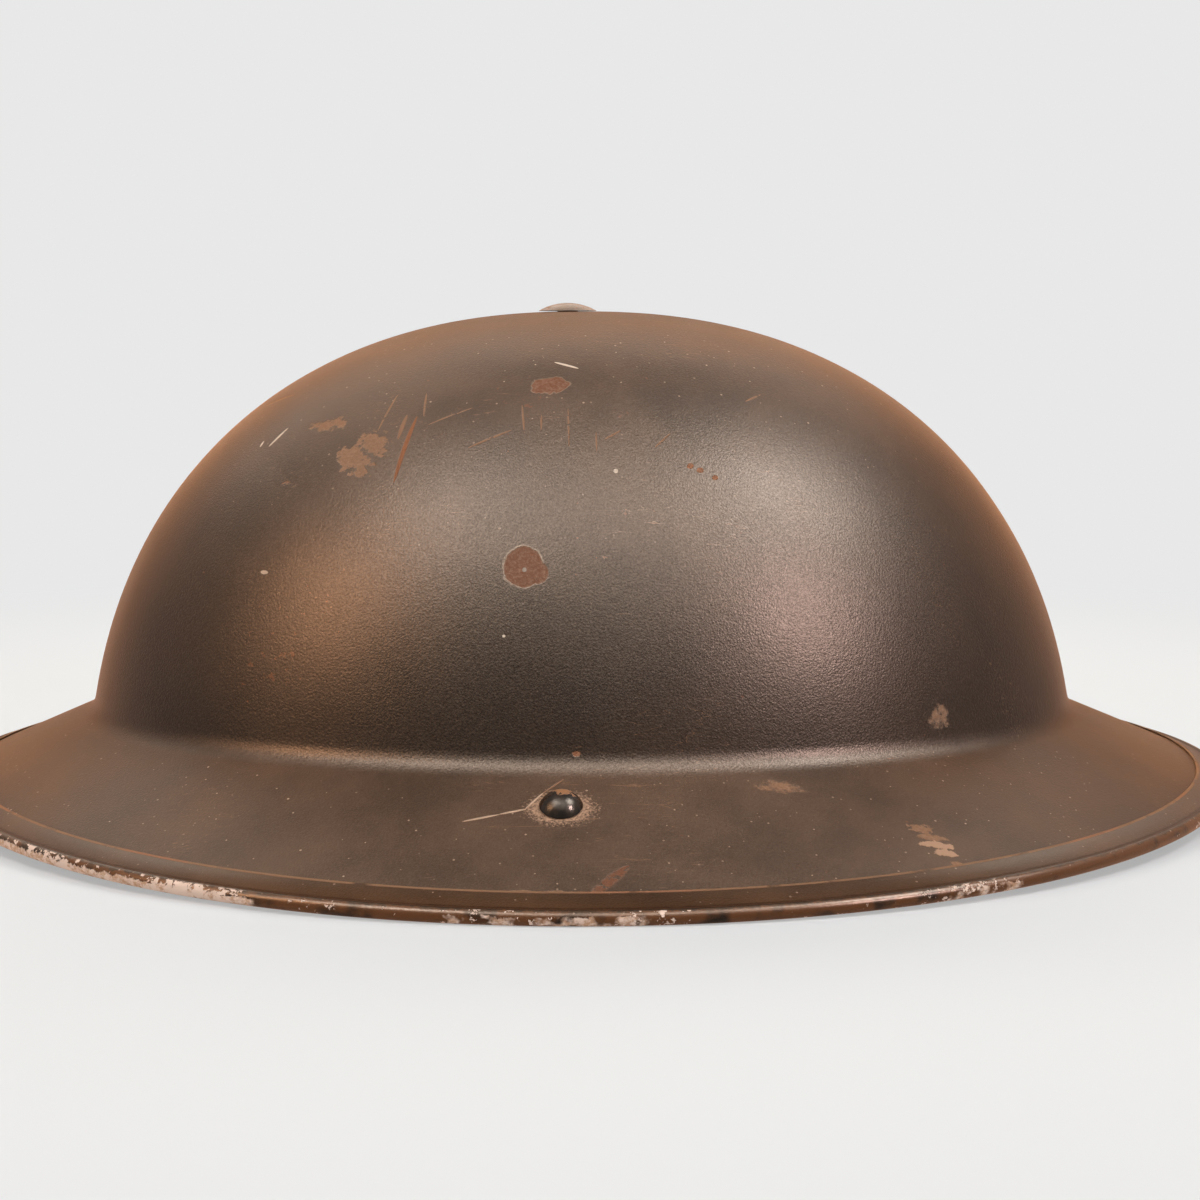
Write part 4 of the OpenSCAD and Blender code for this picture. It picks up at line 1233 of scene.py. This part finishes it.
def buildHeadband():
    wall = liner["bandWall"]
    middle = (liner["bandBottom"] + bandTop) / 2
    section = [(x + wall / 2, z + middle) for x, z in roundedBox(wall, liner["bandHeight"], 0.4, 3)]
    form = sweep(ovalFrames(bandInA, bandInB), section, closed=True)
    piece = makePiece("fibre_headband", form, "helmet", "fibre")
    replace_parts(piece, "headband")


sweatband = {"fold": 17.2, "foldWall": 1.0, "upturn": 5.0, "stitchRows": (20.4, 47.5), "groove": 0.4,
             "stitchPitch": 4.0, "stitchLength": 2.7, "stitchRadius": 0.28, "unevenness": 0.5}


def sweatbandSection():
    wall = liner["sweatbandWall"]
    fold, foldWall = sweatband["fold"], sweatband["foldWall"]
    out = bandOutA - headA + crown["lie"]
    low = fold - foldWall
    inner = []
    for i in range(33):
        z = bandTop - 0.6 - (bandTop - 0.6 - fold) * i / 32
        groove = sum(math.exp(-((z - at) / 0.9) ** 2) for at in sweatband["stitchRows"])
        inner.append((0.12 + sweatband["groove"] * groove, z))
    far, top = out + foldWall, fold + sweatband["upturn"]
    return ([(0.7, bandTop - 0.05), (0.3, bandTop - 0.25)] + inner
            + [(0.35, low + 0.35), (0.9, low), (far - 0.5, low), (far - 0.15, low + 0.15),
               (far, low + 0.5), (far, top - 0.35), (out + foldWall / 2, top), (out, top - 0.35),
               (out, fold + 0.2), (out - 0.3, fold), (wall + 0.2, fold), (wall, fold + 0.2),
               (wall, bandTop - 0.4), (wall - 0.4, bandTop - 0.05)])


def buildSweatband():
    frames = ovalFrames(headA, headB, 240)
    points, faces, lays = sweep(frames, sweatbandSection(), closed=True)
    worn = []
    for point in points:
        out = Vector((point.x + shell["back"], point.y, 0)).normalized()
        reach = math.hypot((point.x + shell["back"]) / headA, point.y / headB)
        soft = max(0, 1 - (reach - 1) * 60) if point.z > sweatband["fold"] else 0
        dent = sweatband["unevenness"] * (0.5 + noise.noise(point / 11))
        worn.append(point - out * soft * dent)
    piece = makePiece("folded_sweatband", (worn, faces, lays), "helmet", "oilcloth")
    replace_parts(piece, "sweatband")
    return piece


def stitch(length, radius):
    # one sunken stitch along X, its middle proud of the cloth
    frames, scales = [], []
    for i in range(9):
        s = i / 8 * 2 - 1
        frames.append((Vector((s * length / 2, 0, radius * (0.7 - 1.5 * s ** 4))),
                       Vector((0, 1, 0)), zAxis))
        grow = math.sqrt(max(0.05, 1 - abs(s) ** 5))
        scales.append((grow, grow))
    section = arcPoints((0, 0), radius, 0, 300, 5)
    return sweep(frames, section, scales=scales)


def buildSweatbandStitching():
    shape = Shape()
    form = stitch(sweatband["stitchLength"], sweatband["stitchRadius"])
    groove = sweatband["groove"] + 0.12
    for height in sweatband["stitchRows"]:
        frames = ovalFrames(headA + groove, headB + groove, 720)
        run = 0.0
        for (middle, out, up), following in zip(frames, frames[1:] + frames[:1]):
            run += (following[0] - middle).length
            if run >= sweatband["stitchPitch"]:
                run -= sweatband["stitchPitch"]
                along = out.cross(up)
                shape.add(form, axes(along, up, -out, middle + up * height - out * 0.25))
    return shape.piece("sweatband_stitching", "helmet", "webbing", sharp=80)


pad = {"armHalf": 17.0, "reachX": 52.0, "reachY": 44.0, "wall": 9.0, "pocketRadius": 12.5,
       "seamAt": 17.0, "seamDepth": 1.7, "round": 11.0, "blend": 10.0, "over": 0.42,
       "dimple": 0.35, "around": 240, "rings": 40}


def padInside(x, y):
    # distance in from the cross-shaped outline, positive inside
    def softer(a, b):
        # smooth minimum
        h = max(pad["blend"] - abs(a - b), 0) / pad["blend"]
        return min(a, b) - h * h * pad["blend"] / 4
    longArm = softer(pad["reachX"] - abs(x), pad["armHalf"] - abs(y))
    crossArm = softer(pad["reachY"] - abs(y), pad["armHalf"] - abs(x))
    return -softer(-longArm, -crossArm)


def padDrop(x, a, rise):
    if abs(x) <= liner["flatHalf"]:
        return 0
    return archHeight(liner["flatHalf"], a, rise) - archHeight(abs(x), a, rise)


def buildCrownPad():
    longRise = linerRise + padTop - longFlat
    longA = (longOut - liner["strapWall"]) / domeShare(bandTop, longRise)
    crossA = (crossOut - liner["strapWall"] - crown["lie"]) / domeShare(bandTop, longRise)
    around, rings = pad["around"], pad["rings"]
    pocketZ = screwEnd - 0.7

    def surfaces(x, y):
        depth = max(padInside(x, y), 0)
        top = padTop - padDrop(x, longA, longRise) - padDrop(y, crossA, longRise)
        fall = 1 - min(depth / pad["round"], 1)
        swell = math.sqrt(max(0, 1 - fall ** 2.4))
        seam = 0
        for across, reach in ((abs(x), abs(y)), (abs(y), abs(x))):
            if reach < pad["armHalf"] + 1:
                seam += math.exp(-((across - pad["seamAt"]) / 1.5) ** 2)
        middle = top - pad["wall"] * pad["over"]
        high = middle + (top - 0.1 - middle) * swell - 0.5 * seam
        low = middle - (pad["wall"] * (1 - pad["over"]) - 0.2) * swell + pad["seamDepth"] * seam
        low += pad["dimple"] * swell * noise.noise(Vector((x, y, 0)) / 7)
        radius = math.hypot(x, y)
        sink = min(max((pad["pocketRadius"] + 1.2 - radius) / 1.6, 0), 1)
        high = high + (min(high, pocketZ) - high) * sink * sink * (3 - 2 * sink)
        return high, min(low, high - 0.4)

    def outline(i):
        # how far the outline is from the middle, found by halving
        low, high = 5.0, 75.0
        for step in range(30):
            middle = (low + high) / 2
            if padInside(*circlePoint(middle, i, around)) > 0:
                low = middle
            else:
                high = middle
        return low

    reaches = [outline(i) for i in range(around)]
    top, bottom = [], []
    for r in range(1, rings + 1):
        s = math.sin(math.pi / 2 * r / rings)
        for i in range(around):
            x, y = circlePoint(s * reaches[i], i, around)
            high, low = surfaces(x, y)
            if r == rings:
                high = low = (high + low) / 2
            top.append(Vector((x - screwBack, y, high)))
            if r < rings:
                bottom.append(Vector((x - screwBack, y, low)))
    high, low = surfaces(0, 0)
    points = [Vector((-screwBack, 0, high))] + top + bottom + [Vector((-screwBack, 0, low))]
    faces = []

    def at(row, i):
        # rows 0..rings-1 are the top, then the bottom from its rim to its middle
        if row < rings:
            return 1 + row * around + i % around
        return 1 + rings * around + (2 * rings - 2 - row) * around + i % around
    for i in range(around):
        faces.append([0, at(0, i), at(0, i + 1)])
        for row in range(2 * rings - 2):
            faces.append([at(row, i), at(row + 1, i), at(row + 1, i + 1), at(row, i + 1)])
        faces.append([at(2 * rings - 2, i), len(points) - 1, at(2 * rings - 2, i + 1)])
    piece = makePiece("quilted_crown_pad", (points, faces, None), "helmet", "oilcloth", sharp=70)
    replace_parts(piece, "crown_pad")


linerRivet = {"head": (3.0, 0.6), "shank": 1.5, "strapTail": (3.0, 0.75), "bufferTail": (2.4, 0.7)}


def linerRivetForm(grip, tail):
    # grip is the wall that the rivet holds; head and tail are (radius, height)
    gap, shank = crown["seat"], linerRivet["shank"]
    inner = [(r, -gap - z) for r, z in domeCap(*linerRivet["head"])]
    outer = [(r, grip + gap + z) for r, z in domeCap(*tail)]
    return lathe(inner + [(shank, -gap), (shank, grip + gap)] + outer[::-1], 28)


def bandPlace(angle, z, a, b):
    # matrix on an oval with half axes a and b, Z outwards
    out = Vector((math.cos(angle) / a, math.sin(angle) / b, 0)).normalized()
    return axes(zAxis.cross(out), zAxis, out,
                (a * math.cos(angle) - shell["back"], b * math.sin(angle), z))


def buildLinerRivets():
    z, middleZ = bandTop - liner["tail"] / 2, (liner["bandBottom"] + bandTop) / 2
    grip = liner["bandWall"] + crown["seat"] + liner["strapWall"]
    form = linerRivetForm(grip, linerRivet["strapTail"])
    shape = Shape()
    aside = math.acos((shell["back"] - screwBack) / bandInA)
    for angle in (0, aside, math.pi, -aside):
        shape.add(form, bandPlace(angle, z, bandInA, bandInB))
    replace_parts(shape.piece("strap_rivet_set", "helmet", "brass"), "crown_strap_rivets")
    grip = liner["bandWall"] + crown["lie"] + liner["bufferWall"]
    form = linerRivetForm(grip, linerRivet["bufferTail"])
    shape = Shape()
    for quarter in range(4):
        for quadrant in liner["bufferAngles"]:
            angle = 90 * quarter + quadrant if quarter % 2 == 0 else 90 * (quarter + 1) - quadrant
            shape.add(form, bandPlace(math.radians(angle), middleZ, bandInA, bandInB))
    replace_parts(shape.piece("buffer_rivet_set", "helmet", "brass"), "buffer_rivets")


buildCrownStrap("long_fibre_strap", "long_crown_strap", longOut, longFlat, -shell["back"], False)
buildCrownStrap("cross_fibre_strap", "cross_crown_strap", crossOut, crossFlat, -screwBack, True)
buildHeadband()
sweatbandPiece = buildSweatband()
sweatbandStitching = buildSweatbandStitching()
buildCrownPad()
buildLinerRivets()
for number in range(1, 13):
    softenEdges("buffer_" + str(number), 0.45, "black_rubber")
print("liner built")

# Strap lugs and their rivets

lug = {"width": 15.0, "leaf": 0.9, "reach": 6.5, "back": 8.5, "gap": 0.15, "wire": 1.1, "pivot": 0.08,
       "corner": 3.0, "hole": 2.1, "bend": 0.8}
lugRivet = {"head": (4.5, 3.0), "shank": 2.0, "tail": (3.2, 0.9)}       # heads are radius and height
leafTop = -shell["wall"] - lug["gap"]
barrelRadius = lug["wire"] + lug["pivot"] + lug["leaf"]
barrelDrop = leafTop - barrelRadius


def buildLug(side):
    leaf = lug["leaf"]
    centre = (-lug["back"], barrelDrop)
    bendRadius = barrelRadius - leaf / 2
    wrap = arcPoints(centre, bendRadius, 90, 330, 28)
    leave = math.radians(330)
    lower = leafTop - 1.5 * leaf
    run = (lower - wrap[-1][1]) / math.cos(leave)
    corner = (wrap[-1][0] - math.sin(leave) * run, lower)
    rise = roundedLoop([wrap[-1], corner, (lug["reach"], lower)], lug["bend"], 5, closed=False)
    path = [(lug["reach"], leafTop - leaf / 2)] + wrap[:-1] + rise
    path = densifyEnds(path, lug["corner"])
    matrix = brimMatrix(side) @ axes((0, 1, 0), (0, 0, 1), (1, 0, 0))
    frames = planarFrames(path, matrix)
    half = lug["width"] / 2
    scales = [(1, s) for s in roundedEnds(frames, half, lug["corner"])]
    form = sweep(frames, roundedBox(leaf - 0.04, 2 * half, 0.25, 2), scales=scales)
    name = "lug_" + sides[side]
    piece = makePiece("folded_" + name, form, "helmet", "fastener_paint")
    cutWith(piece, [rod(lug["hole"], -6, 0, brimMatrix(side))])
    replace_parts(piece, name)


def buildLugRivet(side):
    gap, shank = lug["gap"], lugRivet["shank"]
    headRadius, tailRadius = lugRivet["head"][0], lugRivet["tail"][0]
    head = [(r, gap + z) for r, z in domeCap(*lugRivet["head"], 20)]
    low = leafTop - 2 * lug["leaf"] - 0.05
    tail = [(r, low - 0.5 - z) for r, z in domeCap(*lugRivet["tail"], 8)]
    profile = head[:-1] + [(headRadius - 0.03, gap + 0.12), (headRadius - 0.15, gap), (shank, gap),
                           (shank, low), (tailRadius - 0.15, low), (tailRadius, low - 0.15),
                           (tailRadius, low - 0.4)] + tail[-2::-1]
    name = "lug_rivet_" + sides[side]
    form = moved(lathe(profile, 64), brimMatrix(side))
    piece = makePiece("round_" + name, form, "helmet", "rivet_paint")
    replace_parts(piece, name)


for side in (0, 1):
    buildLug(side)
    buildLugRivet(side)
print("lugs built")

# Strap loops, webbing halves and buckle

strap = {
    "width": 19.0,
    "wall": 1.8,
    "loopLean": 24.0,           # degrees inwards from its lug
    "eyeGap": 0.25,             # between wire and webbing
    "sideGap": 1.0,
    "lift": 0.45,               # over the table
    "lead": 14.0,               # from the loop to the turn
    "skew": 10.0,               # degrees
    "turnRadius": 40.0,
    "leftRun": 60.0,
    "rightRun": 148.0,
    "foldAngle": 30.0,          # where the webbing leaves the wire
    "foldRadius": 1.2,
    "wave": 0.28,
    "waveStretch": (11.0, 4.7),
    "waveFrom": 18.0,
    "waveTo": 24.0,
    "waveFade": 14.0,
    "sewn": 20.0,
    "stitchIn": 2.2,            # from the webbing's edge
    "stitchPitch": 2.6,
    "stitchLength": 1.9,
    "stitchRadius": 0.27,
    "holes": 6,
    "holeRadius": 1.5,
    "pitch": 13.0,
    "tip": 11.0,
}
buckle = {
    "length": 17.0,
    "wireBend": 1.9,
    "slot": 4.8,                # in the webbing's fold, for the tongue
    "tongueRod": 1.1,
    "tongueOver": 1.3,          # its reach past the frame
    "ringWall": 0.9,
    "ringHalf": 1.3,
    "arch": 0.45,               # the tongue's rise in the middle
    "droop": 0.25,              # its drop at the tip
}
slope = math.radians(brimSlope)
barrelY = rivetY - lug["back"] * math.cos(slope) + barrelDrop * math.sin(slope)
barrelZ = rivetZ + lug["back"] * math.sin(slope) + barrelDrop * math.cos(slope)
eyeIn = lug["wire"] + strap["eyeGap"]
eyeOut = eyeIn + strap["wall"]
eyeZ = eyeOut + strap["lift"]
loopLength = (barrelZ - eyeZ) / math.cos(math.radians(strap["loopLean"]))
eyeY = barrelY - loopLength * math.sin(math.radians(strap["loopLean"]))
frameHalf = strap["width"] / 2 + strap["sideGap"] + lug["wire"]


def buildWireFrame(name, length, matrix, body, slot, node):
    corners = [(-frameHalf, 0), (frameHalf, 0), (frameHalf, -length), (-frameHalf, -length)]
    path = roundedLoop(corners, buckle["wireBend"], 8)
    wire = arcPoints((0, 0), lug["wire"], 0, 345, 23)
    form = sweep(planarFrames(path, matrix, closed=True), wire, closed=True)
    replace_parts(makePiece(name, form, body, slot), node)


def loopMatrix(side):
    return mirrorTo(side) @ shift(-screwBack, barrelY, barrelZ) @ turn(90 - strap["loopLean"], "X")


buckleMatrix = (shift(-screwBack, eyeY - strap["lead"], eyeZ) @ turn(strap["skew"], "Z")
                @ shift(0, -strap["leftRun"], 0))
buckleDip = math.degrees(math.asin((eyeZ - lug["wire"] - strap["lift"]) / buckle["length"]))


def strapFrames(side, path):
    # path of (distance from the loop, height above the eye's middle); returns sweep frames
    skew = math.radians(strap["skew"] if side == 0 else -strap["skew"])
    tangent = strap["turnRadius"] * math.tan(abs(skew) / 2)
    arc = strap["turnRadius"] * abs(skew)
    mirror = mirrorTo(side)
    sign = 1 if skew > 0 else -1

    def centre(h):
        # middle and heading angle at distance h, the lead runs along -Y
        first = strap["lead"] - tangent
        if h <= first:
            return Vector((0, -h, 0)), 0
        start = Vector((0, -first, 0))
        part = min((h - first) / arc, 1)
        angle = skew * part
        radius = strap["turnRadius"]
        at = start + Vector((sign * radius * (1 - math.cos(angle)), -radius * math.sin(abs(angle)), 0))
        if part < 1:
            return at, angle
        return at + Vector((math.sin(skew), -math.cos(skew), 0)) * (h - first - arc), skew

    frames = []
    for i, (h, z) in enumerate(path):
        low, high = path[max(i - 1, 0)], path[min(i + 1, len(path) - 1)]
        run = Vector((high[0] - low[0], high[1] - low[1])).normalized()
        at, angle = centre(h)
        heading = Vector((math.sin(angle), -math.cos(angle), 0))
        wide = Vector((math.cos(angle), math.sin(angle), 0))
        thick = heading * -run.y + zAxis * run.x
        base = Vector((-screwBack, eyeY, eyeZ)) + at + Vector((0, 0, z))
        frames.append((mirror @ base, mirror.to_3x3() @ wide, mirror.to_3x3() @ thick))
    return frames


def strapPath(side):
    mid = -eyeOut + strap["wall"] / 2
    upper = mid + strap["wall"]
    ring = eyeIn + strap["wall"] / 2
    fold, angle = strap["foldRadius"], strap["foldAngle"]
    leaveX, leaveZ = ring * math.cos(math.radians(angle)), ring * math.sin(math.radians(angle))
    meet = leaveX + (leaveZ - upper) * math.tan(math.radians(angle))
    full = (strap["leftRun"], strap["rightRun"])[side] + strap["lead"]

    def wave(h):
        # a slight unevenness between the two ends
        inside = (h - strap["waveFrom"], full - strap["waveTo"] - h)
        fade = math.prod(min(max(away / strap["waveFade"], 0), 1) for away in inside)
        long, short = strap["waveStretch"]
        return strap["wave"] * fade * (math.sin(h / long + side) + 0.3 * math.sin(h / short + side * 2))

    steps = int(full / 2)
    flat = [(h, mid + wave(h)) for h in (full * i / steps for i in range(steps + 1))]
    first = roundedLoop([(strap["lead"], upper), (meet, upper), (leaveX, leaveZ)], fold, 5, closed=False)
    path = [tuple(p) for p in first] + arcPoints((0, 0), ring, angle, 270, 30)[1:-1] + flat
    if side == 1:
        return path
    back = roundedLoop([(full - leaveX, leaveZ), (full - meet, upper), (full - strap["sewn"], upper)],
                       fold, 5, closed=False)
    return path + arcPoints((full, 0), ring, -90, 180 - angle, 30)[1:-1] + [tuple(p) for p in back]


def buildWebbing(side):
    wall, word = strap["wall"] - 0.08, sides[side]
    form = sweep(strapFrames(side, strapPath(side)),
                 roundedBox(strap["width"] - 0.1, wall, wall * 0.46, 6))
    piece = makePiece("webbing_" + word, form, "strap_" + word, "webbing")
    if side == 0:
        half = buckle["slot"] / 2
        cutWith(piece, [block((-half, -2 * eyeOut, -2 * eyeOut), (half, eyeOut + 0.25, 2 * eyeOut),
                              buckleMatrix)])
    else:
        cutWith(piece, [rod(strap["holeRadius"], -8, 4, holeMatrix(k)) for k in range(strap["holes"])])
    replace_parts(piece, "chin_strap_" + word)
    return piece


rightRunMatrix = mirrorTo(1) @ shift(-screwBack, eyeY - strap["lead"], eyeZ) @ turn(-strap["skew"], "Z")


def holeMatrix(k):
    return rightRunMatrix @ shift(0, -strap["rightRun"] + 2 * strap["tip"] + k * strap["pitch"], 0)


def stitchRow(shape, form, frames, across, level):
    # stitches along swept frames, at the given offset across and level
    pitch = strap["stitchPitch"]
    run = pitch / 2
    for i in range(len(frames) - 1):
        middle, wide, thick = frames[i]
        step = frames[i + 1][0] - middle
        run += step.length
        if run >= pitch:
            run -= pitch
            along = step.normalized()
            shape.add(form, axes(along, wide, along.cross(wide) * (1 if level > 0 else -1),
                                 middle + wide * across + thick * level))


def buildSewing(side):
    shape = Shape()
    form = stitch(strap["stitchLength"], strap["stitchRadius"])
    full = strap["leftRun"] + strap["lead"]
    spans = [(3.6, strap["lead"] - 0.9)]
    if side == 0:
        spans.append((full - strap["sewn"] + 0.9, full - 4.2))
    wide = strap["width"] / 2 - strap["stitchIn"]
    top = eyeZ - eyeOut + 2 * strap["wall"] + 0.02
    low = eyeZ - eyeOut + 0.02
    steps = 48
    for start, end in spans:
        flat = strapFrames(side, [(start + (end - start) * i / steps, 0) for i in range(steps + 1)])
        flat = [(Vector((m.x, m.y, 0)), w, zAxis) for m, w, t in flat]
        turned = [(m, w, -t) for m, w, t in flat]
        for across in (-wide, wide):
            stitchRow(shape, form, flat, across, top)
            stitchRow(shape, form, turned, across, -low)
        for middle, w, t in (flat[0], flat[-1]):
            cross = [(middle + w * (s - wide), w.cross(t), t)
                     for s in (2 * wide * i / 40 for i in range(41))]
            stitchRow(shape, form, cross, 0, top)
    return shape.piece("sewing_" + sides[side], "strap_" + sides[side], "webbing", sharp=80)


def buildEyelets():
    shape = Shape()
    lip = [(1.32, -0.05), (1.45, 0.2), (1.9, 0.32), (2.5, 0.2), (2.7, 0.0), (2.5, -0.1)]
    low, high = -eyeOut, -eyeOut + strap["wall"]
    tube = turnRing([(1.32, low), (1.46, low), (1.46, high), (1.32, high)], 32)
    for k in range(strap["holes"]):
        matrix = holeMatrix(k)
        for level, flip in ((high, 1), (low, -1)):
            shape.add(turnRing([(r, z * flip) for r, z in lip], 32), matrix @ shift(0, 0, level))
        shape.add(tube, matrix)
    return shape.piece("strap_eyelets", "strap_right", "brass")


def buildStrapTip():
    # a folded brass chape with rounded far corners and two crimps
    wide, length, corner = strap["width"] / 2 + 0.35, strap["tip"], 4.0
    flat = wide - corner
    outline = [(wide, length), (wide, corner)] + arcPoints((flat, corner), corner, -15, -75, 6)
    outline += [(flat, 0), (-flat, 0)] + arcPoints((-flat, corner), corner, -105, -165, 6)
    outline += [(-wide, corner), (-wide, length)]
    half = (strap["wall"] + 0.75) / 2
    matrix = rightRunMatrix @ shift(0, -strap["rightRun"] - 0.4, -eyeOut + strap["wall"] / 2)
    rows = []
    for inset, level in ((0.45, -half), (0.12, -half + 0.12), (0, -half + 0.45), (0, half - 0.45),
                         (0.12, half - 0.12), (0.45, half)):
        rows.append([((1 - inset / wide) * x, inset + (length - 2 * inset) / length * y, level)
                     for x, y in outline])
    count = len(outline)
    points = [point for row in rows for point in row]
    faces = ringFaces(count, len(rows), 0)
    faces += [list(range(count - 1, -1, -1)), [(len(rows) - 1) * count + i for i in range(count)]]
    form = moved((points, faces, None), matrix)
    piece = makePiece("brass_strap_tip", form, "strap_right", "brass")
    dimples = [rod(0.9, half - 0.18, half + 2, matrix @ shift(x, length - 2.6, 0)) for x in (-5, 0, 5)]
    cutWith(piece, dimples)
    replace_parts(piece, "strap_tip")


def buildTongue():
    # a ring round the bar, and a rod that thins and bends down a little towards its tip
    rest = (lug["wire"] + buckle["tongueRod"] + crown["lie"] / 2) / buckle["length"]
    matrix = buckleMatrix @ turn(buckleDip - math.degrees(math.asin(rest)), "X")
    only = matrix.to_3x3()
    shape = Shape()
    bore = lug["wire"] + lug["pivot"]
    wall, across = buckle["ringWall"], buckle["ringHalf"]
    half = [(bore, across - 0.1), (bore + 0.2, across), (bore + wall - 0.15, across),
            (bore + wall, across - 0.15)]
    ringSection = [(bore, 0.1 - across)] + half + [(r, -z) for r, z in half[:0:-1]]
    shape.add(turnRing(ringSection, 40), matrix @ turn(90, "Y"))
    frames, scales = [], []
    for i in range(25):
        s = i / 24
        y = -1.4 - (buckle["length"] + buckle["tongueOver"] - 1.4) * s
        ends = max(0, 1 - s / 0.1) - max(0, s - 0.85) / 0.15
        z = buckle["arch"] * math.sin(math.pi * s) + buckle["droop"] * ends
        frames.append((matrix @ Vector((0, y, z)), only @ Vector((1, 0, 0)), only @ zAxis))
        tip = 1 if s < 0.93 else math.sqrt(max(0.12, 1 - ((s - 0.93) / 0.07) ** 2))
        scales.append(((1.2 - 0.35 * s) * tip, (0.95 - 0.15 * s) * tip))
    shape.add(sweep(frames, arcPoints((0, 0), 1.0, 0, 342, 19), scales=scales))
    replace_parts(shape.piece("bent_tongue", "tongue", "brass"), "buckle_tongue")


for side in (0, 1):
    word = sides[side]
    buildWireFrame("bent_loop_" + word, loopLength, loopMatrix(side), "loop_" + word, "plain_steel",
                   "strap_loop_" + word)
leftWebbing, rightWebbing = buildWebbing(0), buildWebbing(1)
leftSewing, rightSewing = buildSewing(0), buildSewing(1)
eyelets = buildEyelets()
buildStrapTip()
buildTongue()
buildWireFrame("bent_buckle_frame", buckle["length"], buckleMatrix @ turn(buckleDip, "X"), "buckle",
               "brass", "buckle_frame")
print("chin strap built")

# Studio: pale floor and background, soft lamps

studio = {
    "pale": colour(232, 232, 232),
    "paper": colour(219, 223, 226),
    "floorRadius": 6.0,
    "floorFade": (0.20, 0.48),          # m from the middle where the floor turns into background
    "ambient": 0.22,
    "aim": Vector((0, 0, 0.05)),
}
# Lamps: direction towards the lamp, distance in m, size in m, power in W, gloss power in W, colour
lamps = [
    ("leftSoftbox", (-0.38, -0.43, 0.82), 1.5, (0.50, 0.50), 7.0, 76.0, (1, 0.96, 0.92)),
    ("rightSoftbox", (0.57, -0.17, 0.80), 1.5, (0.46, 0.46), 8.0, 84.0, (1, 0.96, 0.93)),
    ("middleSoftbox", (0.09, -0.50, 0.72), 1.7, (1.0, 0.84), 5.0, 148.0, (1, 0.96, 0.92)),
    ("warmLamp", (-0.74, -0.43, 0.52), 1.4, (0.20, 0.44), 0.8, 54.0, (1, 0.58, 0.33)),
    ("pinkLamp", (0.69, -0.55, 0.48), 1.4, (0.14, 0.20), 0.6, 58.0, (1, 0.80, 0.80)),
    ("backSoftbox", (-0.14, 0.76, 0.62), 1.6, (2.4, 0.40), 23.0, 42.0, (1, 0.90, 0.76)),
    ("lowSoftbox", (0.10, -0.25, -1.0), 1.2, (1.1, 1.1), 9.0, 8.0, (1, 0.97, 0.94)),
]


def mixShaders(factor, first, second):
    return Field(addNode(factor.tree, "ShaderNodeMixShader", {0: factor, 1: first, 2: second}))


def seenBy(rays):
    # the rays that see the pale studio itself; all others get plain light from it
    return strongest([rays["Is " + kind + " Ray"] for kind in ("Camera", "Glossy", "Transmission")])


def buildWorld():
    world = bpy.context.scene.world = bpy.data.worlds.new("studioWorld")
    tree = startTree(world)
    rays = outputsOf(addNode(tree, "ShaderNodeLightPath"))
    shown = addNode(tree, "ShaderNodeBackground", {"Color": studio["pale"], "Strength": 1.0})
    ambient = addNode(tree, "ShaderNodeBackground", {
        "Color": (1, 1, 1, 1), "Strength": studio["ambient"]})
    addNode(tree, "ShaderNodeOutputWorld", {
        "Surface": mixShaders(seenBy(rays), Field(ambient), Field(shown))})


def makeFloorPaper():
    material = bpy.data.materials.new("floorPaper")
    tree = startTree(material)
    away = vectorCalc("LENGTH", outputsOf(addNode(tree, "ShaderNodeTexCoord"))["Object"])
    rays = outputsOf(addNode(tree, "ShaderNodeLightPath"))
    fade = ramp(away, *studio["floorFade"], 0.5, 1.0) * seenBy(rays)
    paper = addNode(tree, "ShaderNodeBsdfDiffuse", {"Color": studio["paper"]})
    glow = addNode(tree, "ShaderNodeEmission", {"Color": studio["pale"], "Strength": 1.0})
    top = mixShaders(fade, Field(paper), Field(glow))
    # the floor isn't there seen from below, nor for the light from below
    below = outputsOf(addNode(tree, "ShaderNodeNewGeometry"))["Backfacing"]
    clear = Field(addNode(tree, "ShaderNodeBsdfTransparent"))
    addNode(tree, "ShaderNodeOutputMaterial", {
        "Surface": mixShaders(calc("MAXIMUM", below, rays["Is Shadow Ray"]), top, clear)})
    return material


def buildFloor():
    steps, radii = 96, (0.4, 1.0, studio["floorRadius"])
    points = [(0, 0, 0)] + [(*circlePoint(radius, i, steps), 0) for radius in radii for i in range(steps)]
    faces = [[0, 1 + i, 1 + (i + 1) % steps] for i in range(steps)]
    faces += [face[::-1] for face in ringFaces(steps, len(radii))]
    mesh = bpy.data.meshes.new("studioFloor")
    mesh.from_pydata(points, [], faces)
    mesh.materials.append(makeFloorPaper())
    floor = addObject("studioFloor", mesh)


def buildLamp(name, towards, distance, size, power, tint):
    data = bpy.data.lights.new(name, "AREA")
    data.shape = "RECTANGLE"
    data.size, data.size_y = size
    data.energy = power
    data.color = tint
    lamp = addObject(name, data)
    direction = Vector(towards).normalized()
    lamp.location = studio["aim"] + direction * distance
    lamp.rotation_euler = direction.to_track_quat("Z", "Y").to_euler()
    return lamp


def buildLamps():
    for name, towards, distance, size, power, gloss, tint in lamps:
        buildLamp(name, towards, distance, size, power, tint)
        glow = buildLamp(name + "Gloss", towards, distance, size, gloss, tint)
        glow.visible_diffuse = False        # only mirrored in glossy surfaces


buildWorld()
buildFloor()
buildLamps()
print("studio built")
